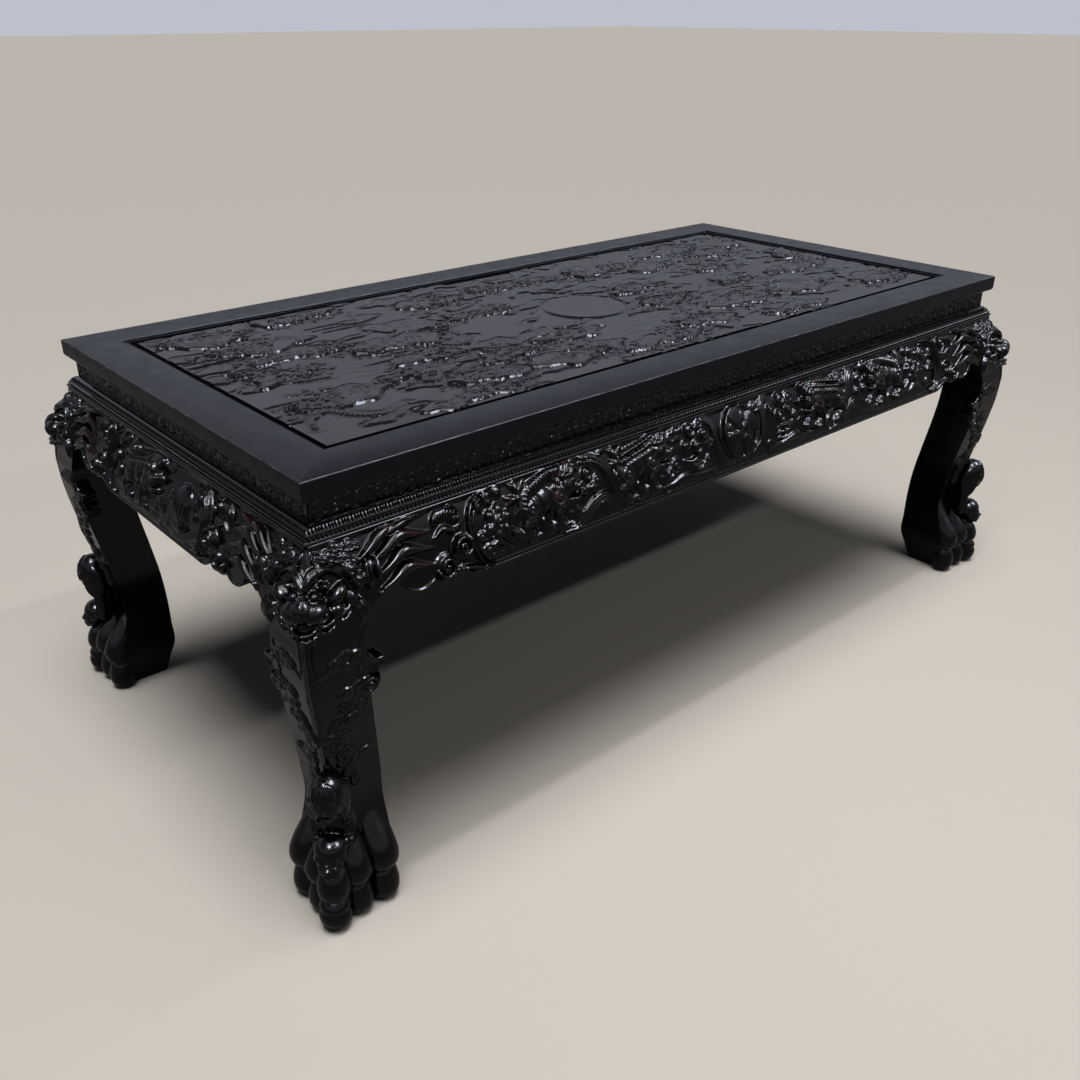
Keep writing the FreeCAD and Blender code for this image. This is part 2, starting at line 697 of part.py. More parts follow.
def apron_blank(side):
    """The apron of one side without its sockets."""
    other = HALF_LENGTH if side == "front" else HALF_WIDTH
    body = bar(f"apron_{side}_bar", side, APRON_SECTION)
    near = apron_end(lambda s: f"({s}) - {other}")
    far = apron_end(lambda s: f"{other} - ({s})")
    back = [far[-1][:2]]
    for i in range(len(far) - 1, 0, -1):
        bend = far[i][2:]
        back.append((*far[i - 1][:2], *bend))
    low = f"({APRON_BOTTOM} - {OVERCUT})"
    reach = f"({other} + {OVERCUT})"
    outline = near + back + [(reach, low), (f"-{reach}", low)]
    role = "XZ_Plane" if side == "front" else "YZ_Plane"
    pocket(body, sketch_loops(body, f"apron_{side}_edge", role, [outline]))
    return body


def apron_seat(side):
    """The room that an apron's ends take up in the legs, down to the mitre lines."""
    other = HALF_LENGTH if side == "front" else HALF_WIDTH
    body = bar(f"seat_{side}_bar", side, SEAT_SECTION)
    run = f"(shoulder_inner + {OVERCUT})"
    low = f"({MITRE_SUM} - {run})"
    outline = [
        (f"-{OVERCUT} - {other}", f"{MITRE_SUM} + {OVERCUT}"),
        (f"{run} - {other}", low),
        (f"{other} - {run}", low),
        (f"{other} + {OVERCUT}", f"{MITRE_SUM} + {OVERCUT}"),
        (f"{other} + {OVERCUT}", f"{low} - {OVERCUT}"),
        (f"-{OVERCUT} - {other}", f"{low} - {OVERCUT}"),
    ]
    role = "XZ_Plane" if side == "front" else "YZ_Plane"
    pocket(body, sketch_loops(body, f"seat_{side}_edge", role, [outline]))
    return body


def hanging_key(name, side, allowance):
    """A waisted key, half in the apron and half in the front left leg."""
    body = new_body(name)
    face = "(apron_thickness - apron_top_out)"
    neck = f"(key_waist / 2 + ({allowance}))"
    flare = f"(key_flare / 2 + ({allowance}))"
    reach = f"(key_depth + ({allowance}))"
    outline = [(f"-{flare}", f"-{reach}"), (flare, f"-{reach}"), (neck, "0"), (flare, reach),
               (f"-{flare}", reach), (f"-{neck}", "0")]
    along = f"key_setback - {HALF_LENGTH if side == 'front' else HALF_WIDTH}"
    across = f"{face} - {HALF_WIDTH if side == 'front' else HALF_LENGTH}"
    points = [(f"{along} + {u}", f"{across} + {v}") for u, v in outline]
    if side == "left":
        points = [(y, x) for x, y in reversed(points)]
    level = f"{SHOULDER} - key_drop - key_length - ({allowance})"
    sketch = sketch_loops(body, name + "_section", "XY_Plane", [points], offset=level)
    pad(body, sketch, f"key_length + 2 * ({allowance})", symmetric=False)
    return body


# A lion on an apron: place along and up from its middle, then half sizes along, up and out
LION_PARTS = ((-17, 2, 42, 24, 9), (56, 15, 27, 25, 11))
# Place along the side as a share of half its length, and the way the lion faces
LIONS = {
    "front": ((-0.552, 1), (-0.318, 1), (0.262, -1), (0.496, -1)),
    "left": ((-0.131, 1),),
}
BALL_PLACE = -0.028
MELON_PLACE = 0.229
BLOSSOM_PLACES = (-0.66, 0.604)


def raised_form(name, side, along, drop, half_along, half_up, half_out):
    """A rounded form that stands on the swelled face, leaning with it. Along runs to the right."""
    level = f"({SHOULDER} - ({drop}))"
    slope = (value(swell(f"({level} - 1)")) - value(swell(f"({level} + 1)"))) / 2
    lean = math.degrees(math.atan(slope))
    form = doc.addObject("Part::Ellipsoid", name)
    bind(form, "Radius1", half_out)
    bind(form, "Radius2", half_along if side == "front" else half_up)
    bind(form, "Radius3", half_up if side == "front" else half_along)
    axis = FreeCAD.Vector(1, 0, 0) if side == "front" else FreeCAD.Vector(0, -1, 0)
    form.Placement.Rotation = FreeCAD.Rotation(axis, 90 - lean)
    face = f"-({HALF_WIDTH if side == 'front' else HALF_LENGTH} + {swell(level)})"
    x, y = (along, face) if side == "front" else (face, f"-({along})")
    for letter, place in (("x", x), ("y", y), ("z", level)):
        bind(form, f"Placement.Base.{letter}", place)
    return form


def raised_forms(side):
    """Lions, ball or melon, blossoms and the scrolls at both ends of an apron."""
    half = HALF_LENGTH if side == "front" else HALF_WIDTH
    forms = []
    for i, (share, way) in enumerate(LIONS[side]):
        for k, (along, up, *sizes) in enumerate(LION_PARTS):
            forms.append(raised_form(f"lion_{side}_{i}_{k}", side, f"{share} * {half} + {way * along}",
                                     f"figure_drop - ({up})", *[str(size) for size in sizes]))
    if side == "front":
        forms.append(raised_form("apron_ball", side, f"{BALL_PLACE} * {half}", "figure_drop",
                                 "ball_radius", "ball_radius", "ball_out"))
        for i, share in enumerate(BLOSSOM_PLACES):
            forms.append(raised_form(f"apron_blossom_{i}", side, f"{share} * {half}", "figure_drop",
                                     "blossom_radius", "blossom_radius", "blossom_out"))
    else:
        forms.append(raised_form("apron_melon", side, f"{MELON_PLACE} * {half}", "figure_drop",
                                 "melon_radius", "melon_radius", "melon_out"))
    for way in (-1, 1):
        for k in (0, 1):
            forms.append(raised_form(f"volute_{side}_{way + 1}_{k}", side,
                                     f"{way} * ({half} - volute_setback - {k} * volute_pitch)",
                                     f"volute_drop - {k} * volute_rise",
                                     "volute_radius", "volute_radius", "volute_out"))
    return forms


def build_aprons(holes, sockets):
    sides = (("front", "back", ACROSS_Y, ACROSS_X), ("left", "right", ACROSS_X, ACROSS_Y))
    for side, opposite, normal, across in sides:
        tools = [sockets[side], mirror(f"socket_{side}_far", sockets[side], across), *holes[side]]
        carved = fuse(f"apron_{side}_carved", [apron_blank(side), *raised_forms(side)])
        apron = cut(f"apron_{side}_cut", carved, tools)
        keep(apron, f"apron_{side}")
        turned = mirror(f"apron_{opposite}_turned", apron, across)
        keep(mirror(f"apron_{opposite}_copy", turned, normal), f"apron_{opposite}")
    keys = [hanging_key(f"hanging_key_{side}", side, "0") for side in ("front", "left")]
    across_x = [mirror(k.Name + "_x", k, ACROSS_X) for k in keys]
    across_y = [mirror(k.Name + "_y", k, ACROSS_Y) for k in keys + across_x]
    keep(group("hanging_key_group", keys + across_x + across_y), "apron_hanging_keys")


# Legs: a lofted cabriole leg with a swelled shoulder, a post behind the waist and a paw foot

SHIN_SHARES = (0.2, 0.42, 0.65, 0.85)


def leg_sections():
    """(level, reach outside the edge of the top, setback of the inner faces) from the floor to the knee."""
    knee_out = swell(KNEE)
    sections = [
        ("0", "paw_core_out - foot_tuck", "foot_flat"),
        ("paw_height / 2", "paw_core_out", "(foot_flat + ankle_inner) / 2"),
        ("paw_height", "paw_core_out", "ankle_inner"),
        ("(paw_height + ankle_height) / 2", "(ankle_out + paw_core_out) / 2", "ankle_inner"),
        ("ankle_height", "ankle_out", "ankle_inner"),
    ]
    for share in SHIN_SHARES:
        ease = round(share * share * (3 - 2 * share), 4)
        sections.append((
            f"ankle_height + {share} * ({KNEE} - ankle_height)",
            f"ankle_out + {ease} * ({knee_out} - ankle_out)",
            f"ankle_inner + {ease} * (knee_inner - ankle_inner)",
        ))
    sections.append((KNEE, knee_out, "knee_inner"))
    return sections


def leg_shaft():
    body = new_body("leg_shaft")
    squares = []
    for i, (level, out, inner) in enumerate(leg_sections()):
        x = (f"-({out}) - {HALF_LENGTH}", f"{inner} - {HALF_LENGTH}")
        y = (f"-({out}) - {HALF_WIDTH}", f"{inner} - {HALF_WIDTH}")
        loop = [(x[0], y[0]), (x[1], y[0]), (x[1], y[1]), (x[0], y[1])]
        squares.append(sketch_loops(body, f"leg_section_{i}", "XY_Plane", [loop], offset=level))
    doc.recompute()
    loft = body.newObject("PartDesign::AdditiveLoft", "Loft")
    loft.Profile = squares[0]
    loft.Sections = squares[1:]
    doc.recompute()
    return body


def shoulder_slab(name, side):
    """The swelled shoulder as seen along one side, from the knee to the moulding."""
    body = new_body(name)
    role, half, other = {
        "front": ("YZ_Plane", HALF_WIDTH, HALF_LENGTH),
        "left": ("XZ_Plane", HALF_LENGTH, HALF_WIDTH),
    }[side]
    outline = [
        (f"shoulder_inner - {half}", SHOULDER),
        (f"-apron_top_out - {half}", SHOULDER),
        (f"-{swell(KNEE)} - {half}", KNEE, "swell_radius"),
        (f"shoulder_inner - {half}", KNEE),
    ]
    sketch = sketch_loops(body, name + "_section", role, [outline])
    bind(sketch, "AttachmentOffset.Base.z",
         f"-{other} + shoulder_inner" if side == "front" else f"{other} - shoulder_inner")
    slab = pad(body, sketch, f"shoulder_inner + {OVERCUT}", symmetric=False)
    slab.Reversed = side == "front"
    doc.recompute()
    return body


def face_cylinder(name, side, radius, along, start, level, length):
    """A level cylinder square to one face of the leg, from a setback inwards."""
    cylinder = doc.addObject("Part::Cylinder", name)
    bind(cylinder, "Radius", radius)
    bind(cylinder, "Height", length)
    axis = FreeCAD.Vector(-1, 0, 0) if side == "front" else FreeCAD.Vector(0, 1, 0)
    cylinder.Placement.Rotation = FreeCAD.Rotation(axis, 90)
    x, y = (along, start) if side == "front" else (start, along)
    bind(cylinder, "Placement.Base.x", f"{x} - {HALF_LENGTH}")
    bind(cylinder, "Placement.Base.y", f"{y} - {HALF_WIDTH}")
    bind(cylinder, "Placement.Base.z", level)
    return cylinder


def arch_cylinder(name, side):
    """The round arch under the apron, cut into the inner faces of the leg's shoulder."""
    length = f"2 * ({OVERCUT} + shoulder_inner)"
    return face_cylinder(name, side, "arch_radius", ARCH_SETBACK, f"-{OVERCUT}", KNEE, length)


def knee_scroll(side):
    """The scroll on the inner edge of a face and the blunt spur above it, under the arch."""
    face = f"-{swell(KNEE)}"
    scroll = face_cylinder(f"knee_scroll_{side}", side, "knee_scroll_radius",
                           "knee_inner + knee_scroll_offset", face,
                           f"{KNEE} - knee_scroll_drop", "knee_scroll_depth")
    spur = face_cylinder(f"knee_spur_{side}", side, "knee_spur_radius",
                         "knee_inner + knee_spur_offset", f"{face} + knee_spur_recess",
                         f"{KNEE} - knee_spur_drop", "knee_spur_depth")
    return [scroll, spur]


def corner_ellipsoid(name, setback_x, setback_y, level, along, across, rise):
    """An ellipsoid turned to the corner's diagonal, with half sizes along it, across it and upwards."""
    solid = doc.addObject("Part::Ellipsoid", name)
    bind(solid, "Radius1", rise)
    bind(solid, "Radius2", along)
    bind(solid, "Radius3", across)
    solid.Placement.Rotation = FreeCAD.Rotation(FreeCAD.Vector(0, 0, 1), 45)
    bind(solid, "Placement.Base.x", f"{setback_x} - {HALF_LENGTH}")
    bind(solid, "Placement.Base.y", f"{setback_y} - {HALF_WIDTH}")
    bind(solid, "Placement.Base.z", level)
    return solid


def toes():
    """Five toes round the outer corner of the foot, each a knuckle above a pad."""
    depth = "(toe_reach - paw_out)"
    corner = "(corner_toe_inset - paw_out)"
    made = []
    for step in (-2, -1, 0, 1, 2):
        slide = f"(toe_start + {abs(step) - 1} * toe_pitch - paw_out)" if step else corner
        across = depth if step else corner
        x, y = (slide, across) if step > 0 else (across, slide)
        for part in ("knuckle" if step else "corner_knuckle", "pad"):
            made.append(corner_ellipsoid(f"toe_{part}_{step + 3}", x, y, f"{part}_height",
                                         "toe_reach", "toe_width", f"{part}_rise"))
    return made


def build_leg(sockets):
    slabs = [shoulder_slab(f"shoulder_{side}", side) for side in ("front", "left")]
    shoulder = doc.addObject("Part::MultiCommon", "leg_shoulder")
    shoulder.Shapes = slabs
    post = corner_box("leg_post", (POST_FACE, "shoulder_inner"), (POST_FACE, "shoulder_inner"),
                      (f"{SHOULDER} - {LAP}", RAIL_BOTTOM))
    tenons = [leg_tenon(f"leg_tenon_{side}", side, "0") for side in ("front", "left")]
    scrolls = knee_scroll("front") + knee_scroll("left")
    under = (f"-{OVERCUT}", f"shoulder_inner + {OVERCUT}")
    floor = corner_box("under_floor", under, under, (f"-{OVERCUT}", "0"))
    leg = fuse("leg_bare", [leg_shaft(), shoulder, post, *tenons])
    for side in ("front", "left"):
        leg = cut(f"leg_arched_{side}", leg, [arch_cylinder(f"arch_{side}", side)])
    paw = cut("leg_paw", fuse("leg_toes", toes()), [floor])
    leg = fuse("leg_footed", [fuse("leg_scrolled", [leg, *scrolls]), paw])
    for side in ("front", "left"):
        leg = cut(f"leg_joined_{side}", leg, [apron_seat(side)])
    return cut("leg_socketed", leg, [sockets["front"], sockets["left"]])


# Crouching lions, one glued and pegged to the ankle of each leg

def lion_ball(name, out, level, along, across, rise, slide="0"):
    """A rounded part of the lion, set outwards on the diagonal and slid across it."""
    place = f"-(ankle_out + {out})"
    return corner_ellipsoid(name, f"{place} + {slide}", f"{place} - {slide}", level, along, across, rise)


def lion_blank():
    """Rump, body, head, tail and forepaws, head down."""
    head_level = "lion_height - lion_head_drop"
    members = [
        lion_ball("lion_body", "lion_spine_out", "lion_height - lion_chest_drop",
                  "lion_body_depth", "lion_body_width", "lion_body_rise"),
        lion_ball("lion_rump", "lion_rump_out", "lion_height + lion_rump_rise",
                  "lion_rump_radius", "lion_rump_radius", "lion_rump_radius"),
        lion_ball("lion_head", "lion_head_out", head_level,
                  "lion_head_radius", "lion_head_radius", "lion_head_radius"),
        lion_ball("lion_tail", "lion_tail_out", "lion_height + lion_tail_rise",
                  "lion_tail_radius", "lion_tail_radius", "lion_tail_length"),
    ]
    for hand, slide in (("left", "(-forepaw_spread)"), ("right", "forepaw_spread")):
        members.append(lion_ball(f"lion_forepaw_{hand}", "forepaw_out", f"{head_level} + forepaw_rise",
                                 "forepaw_radius", "forepaw_radius", "forepaw_length", slide))
    return fuse("lion_blank", members)


def ankle_peg(name, allowance):
    """A peg on the diagonal, from the leg into the lion."""
    peg = doc.addObject("Part::Cylinder", name)
    bind(peg, "Radius", f"peg_radius + ({allowance})")
    bind(peg, "Height", f"peg_in_leg + peg_in_lion + 2 * ({allowance})")
    peg.Placement.Rotation = FreeCAD.Rotation(FreeCAD.Vector(0, 0, 1), FreeCAD.Vector(-1, -1, 0))
    start = f"(peg_in_leg + ({allowance})) / sqrt(2) - ankle_out - peg_seat"
    bind(peg, "Placement.Base.x", f"{start} - {HALF_LENGTH}")
    bind(peg, "Placement.Base.y", f"{start} - {HALF_WIDTH}")
    bind(peg, "Placement.Base.z", "lion_height")
    return peg


CORNERS = (("front_right", (ACROSS_X,)), ("back_left", (ACROSS_Y,)), ("back_right", (ACROSS_X, ACROSS_Y)))


def keep_corners(thing, label):
    """Names the front left piece and its copies at the other corners."""
    keep(thing, f"{label}_front_left")
    for corner, normals in CORNERS:
        copy = thing
        for i, normal in enumerate(normals):
            copy = mirror(f"{label}_{corner}_{i}", copy, normal)
        keep(copy, f"{label}_{corner}")


def build_legs_and_lions(sockets):
    leg = build_leg(sockets)
    hole = ankle_peg("peg_hole", "joint_clearance")
    lion = cut("lion_seated", lion_blank(), [leg])
    keep_corners(cut("leg_finished", leg, [hole]), "leg")
    keep_corners(cut("lion_finished", lion, [hole]), "ankle_lion")
    peg = ankle_peg("peg", "0")
    pegs = [peg, mirror("peg_x", peg, ACROSS_X)]
    pegs += [mirror(p.Name + "_y", p, ACROSS_Y) for p in pegs]
    keep(group("peg_group", pegs), "ankle_lion_pegs")


def check_and_export():
    """Stops on any failed object or bad shape, then writes one file for each sub-part."""
    doc.recompute()
    for thing in doc.Objects:
        if {"Invalid", "Error"} & set(thing.State):
            raise RuntimeError(f"{thing.Label} failed: {thing.State}")
    for thing in sub_parts:
        shape = thing.Shape
        if shape.isNull() or not shape.isValid() or not shape.Solids:
            raise RuntimeError(f"{thing.Label} has no valid solid")
    os.makedirs("parts", exist_ok=True)
    for thing in sub_parts:
        thing.Shape.exportStep(f"parts/{thing.Label}.step")
        print(f"{thing.Label}: {len(thing.Shape.Solids)} solids, {thing.Shape.Volume / 1000:.0f} cm3")


hole_tools = {}
socket_tools = {}
for drawn_side in ("front", "left"):
    hole_tools[drawn_side] = dowels("dowel_hole", drawn_side, "joint_clearance")
    socket_tools[drawn_side] = hanging_key(f"key_socket_{drawn_side}", drawn_side, "joint_clearance")
build_frame()
build_panel()
build_waist(hole_tools)
build_aprons(hole_tools, socket_tools)
build_legs_and_lions(socket_tools)
check_and_export()
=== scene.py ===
import functools
import math

import bpy
import numpy as np
from mathutils import Matrix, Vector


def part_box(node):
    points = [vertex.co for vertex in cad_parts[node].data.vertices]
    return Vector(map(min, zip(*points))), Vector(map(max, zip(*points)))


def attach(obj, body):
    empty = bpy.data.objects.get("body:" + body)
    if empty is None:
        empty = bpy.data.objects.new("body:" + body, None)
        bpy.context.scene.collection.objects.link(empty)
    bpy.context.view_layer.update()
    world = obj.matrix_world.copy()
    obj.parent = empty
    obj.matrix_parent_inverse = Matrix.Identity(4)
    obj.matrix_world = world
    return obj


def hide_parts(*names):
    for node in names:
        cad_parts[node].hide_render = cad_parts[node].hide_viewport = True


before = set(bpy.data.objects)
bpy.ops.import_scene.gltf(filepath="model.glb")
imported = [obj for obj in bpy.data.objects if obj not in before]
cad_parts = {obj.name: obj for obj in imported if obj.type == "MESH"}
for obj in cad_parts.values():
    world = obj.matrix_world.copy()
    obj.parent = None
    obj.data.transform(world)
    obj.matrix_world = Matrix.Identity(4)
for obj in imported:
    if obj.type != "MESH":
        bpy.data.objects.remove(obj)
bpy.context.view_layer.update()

bl_info = {
    "name": "Carved Painting Table",
    "version": (1, 0, 0),
    "blender": (4, 5, 0),
    "location": "View3D > Sidebar > Painting Table",
    "description": "Builds a black carved painting table piece by piece around its frame",
    "category": "Add Mesh",
}

MM = 0.001
SEED = 11


def level(node, end):
    """Height in millimetres of the bottom (0) or top (1) of a frame node."""
    return round(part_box(node)[end].z / MM, 1)


# Sizes in millimetres that the frame gives
HALF_LENGTH = round(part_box("frame_end_right")[1].x / MM, 1)
HALF_WIDTH = round(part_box("frame_rail_back")[1].y / MM, 1)
TABLE_TOP = level("frame_rail_front", 1)
RAIL_BOTTOM = level("frame_rail_front", 0)
WAIST_BOTTOM = level("waist_front", 0)
SHOULDER = level("moulding_front", 0)
APRON_BOTTOM = level("apron_front", 0)
PANEL_BOTTOM = level("panel_board_front", 0)
RAIL_WIDTH = 100.0

# Shape of the swelling apron and shoulder: part of a circle seen from the side
SWELL_RADIUS = 270.0
SWELL_LEVEL = 555.9
SWELL_OFFSET = 219.1
# Level of the knee, the arch between leg and apron, and the mitre above the arch
KNEE = 540.0
ARCH_SETBACK = 133.0
ARCH_RADIUS = 75.0
MITRE_FOOT = 606.0
MITRE_SUM = 704.0

# Leg sections below the knee: level, how far outside the top's edge, inner setback
LEG_SECTIONS = (
    (0, 28, 66), (42.5, 36, 78), (85, 36, 90), (137.5, 23, 90), (190, 10, 90),
    (260, 14.2, 86.7), (337, 25.4, 77.8), (417.5, 39.1, 67), (487.5, 48, 60), (540, 50.5, 58),
)

# Each side as seen from outside: direction to the right and direction outwards
SIDES = {
    "front": ((1, 0), (0, -1)),
    "right": ((0, 1), (1, 0)),
    "back": ((-1, 0), (0, 1)),
    "left": ((0, -1), (-1, 0)),
}
OPPOSITE = {"front": "back", "left": "right"}
# Corners of the top in order of quarter turns
CORNERS = {
    "front_left": (-HALF_LENGTH, -HALF_WIDTH),
    "front_right": (HALF_LENGTH, -HALF_WIDTH),
    "back_right": (HALF_LENGTH, HALF_WIDTH),
    "back_left": (-HALF_LENGTH, HALF_WIDTH),
}

# Carving in millimetres: distances between the points that are worked, levels, and heights above the ground
CORNER_STEP, APRON_STEP, FIELD_STEP = 1.0, 1.25, 1.6
CARVING_FOOT = 84
APRON_LEVELS = (572, 714)
APRON_MIDDLE = 655
CLOUD_LEVELS = (598, 702)
APRON_CLOUD_RISE, LEG_CLOUD_RISE = 6, 5
BANK_RISE, DRIFT_RISE = 3.3, 1.3
DRIFTS = 150

# Lacquer and wood: sizes in millimetres of polish smears, brush marks and grain, and the depth of the brush marks
SMEAR_SIZE, BRUSH_SIZE, GRAIN_WIDTH = 38.0, 3.0, 5.0
BRUSH_DEPTH = 0.4 * MM


def hermite(x, table, column):
    """Smooth curve through one column of a small table of places."""
    knots = np.array([row[0] for row in table], float)
    values = np.array([row[column] for row in table], float)
    slopes = np.gradient(values, knots)
    x = np.clip(x, knots[0], knots[-1])
    i = np.clip(np.searchsorted(knots, x) - 1, 0, len(knots) - 2)
    span = knots[i + 1] - knots[i]
    t = (x - knots[i]) / span
    return ((2 * t**3 - 3 * t**2 + 1) * values[i] + (t**3 - 2 * t**2 + t) * span * slopes[i]
            + (3 * t**2 - 2 * t**3) * values[i + 1] + (t**3 - t**2) * span * slopes[i + 1])


def swell(z):
    """How far the apron's face stands outside the top's edge at a level."""
    z = np.clip(z, KNEE, SHOULDER)
    return np.sqrt(SWELL_RADIUS**2 - (z - SWELL_LEVEL) ** 2) - SWELL_OFFSET


def leg_out(z):
    """How far the leg's faces stand outside the top's edge at a level."""
    return np.where(z < KNEE, hermite(z, LEG_SECTIONS, 1), swell(z))


def leg_inner(z):
    """Setback of the leg's inner faces: straight leg, arch, then the mitre."""
    arch = ARCH_SETBACK - np.sqrt(np.clip(ARCH_RADIUS**2 - (z - KNEE) ** 2, 0, None))
    upper = np.where(z < MITRE_FOOT, arch, MITRE_SUM - z)
    return np.where(z < KNEE, hermite(z, LEG_SECTIONS, 2), upper)


def lobe(d, start, end, radius):
    """Level of an arc that sags below the chord between two points of the apron's edge."""
    (d0, z0), (d1, z1) = start, end
    half = math.hypot(d1 - d0, z1 - z0) / 2
    rise = math.sqrt(radius**2 - half**2)
    cd = (d0 + d1) / 2 - (z1 - z0) / (2 * half) * rise
    cz = (z0 + z1) / 2 + (d1 - d0) / (2 * half) * rise
    return cz - np.sqrt(np.clip(radius**2 - (d - cd) ** 2, 0, None))


# Lower edge of the apron past its arch, as setback and level: a hook, then three hanging lobes and their radii
EDGE_POINTS = ((ARCH_SETBACK, 615), (137, 608), (197, 597), (254, 604), (300, APRON_BOTTOM))
EDGE_RADII = (38, 38, 45)


def apron_edge(d):
    """Level of the apron's lower edge at a distance from the corner of the top."""
    d = np.asarray(d, float)
    arch = KNEE + np.sqrt(np.clip(ARCH_RADIUS**2 - (d - ARCH_SETBACK) ** 2, 0, None))
    mitre_end = ARCH_SETBACK - math.sqrt(ARCH_RADIUS**2 - (MITRE_FOOT - KNEE) ** 2)
    edge = np.where(d < mitre_end, MITRE_SUM - d, arch)
    (d0, z0), (d1, z1) = EDGE_POINTS[:2]
    edge = np.where(d > d0, z0 - (d - d0) * (z0 - z1) / (d1 - d0), edge)
    for start, end, radius in zip(EDGE_POINTS[1:], EDGE_POINTS[2:], EDGE_RADII):
        edge = np.where(d > start[0], lobe(d, start, end, radius), edge)
    return np.where(d > EDGE_POINTS[-1][0], APRON_BOTTOM, edge)


# Paths of carved lines
def curve(points, spacing=1.6):
    """Points spread along a smooth line through given points."""
    p = np.asarray(points, float)
    q = np.vstack([2 * p[0] - p[1], p, 2 * p[-1] - p[-2]])
    runs = []
    for i in range(len(p) - 1):
        a, b, c, d = q[i:i + 4]
        t = np.linspace(0, 1, max(2, int(np.linalg.norm(c - b) / spacing) + 1), endpoint=False)[:, None]
        runs.append(b + 0.5 * t * (c - a + t * (2 * a - 5 * b + 4 * c - d + t * (3 * (b - c) + d - a))))
    return np.vstack(runs + [p[-1:]])


def coil(u, v, radius, turns, start, sense, inner=0.12):
    """A line wound inwards round a centre; the start angle is in turns."""
    t = np.linspace(0, 1, int(turns * max(14, radius * 3.2)) + 2)
    angle = 2 * math.pi * (start + sense * turns * t)
    reach = radius * (1 - (1 - inner) * t)
    return np.stack([u + reach * np.cos(angle), v + reach * np.sin(angle)], 1)


def ease(x):
    """A smooth rise from 0 to 1."""
    x = np.clip(x, 0, 1)
    return x**2 * (3 - 2 * x)


def oval(uu, vv, u, v, ru, rv, turn):
    """Places as shares of the half sizes of an oval, which is turned by a share of a full turn."""
    a = 2 * math.pi * turn
    x = ((uu - u) * math.cos(a) + (vv - v) * math.sin(a)) / ru
    y = ((vv - v) * math.cos(a) - (uu - u) * math.sin(a)) / rv
    return x, y


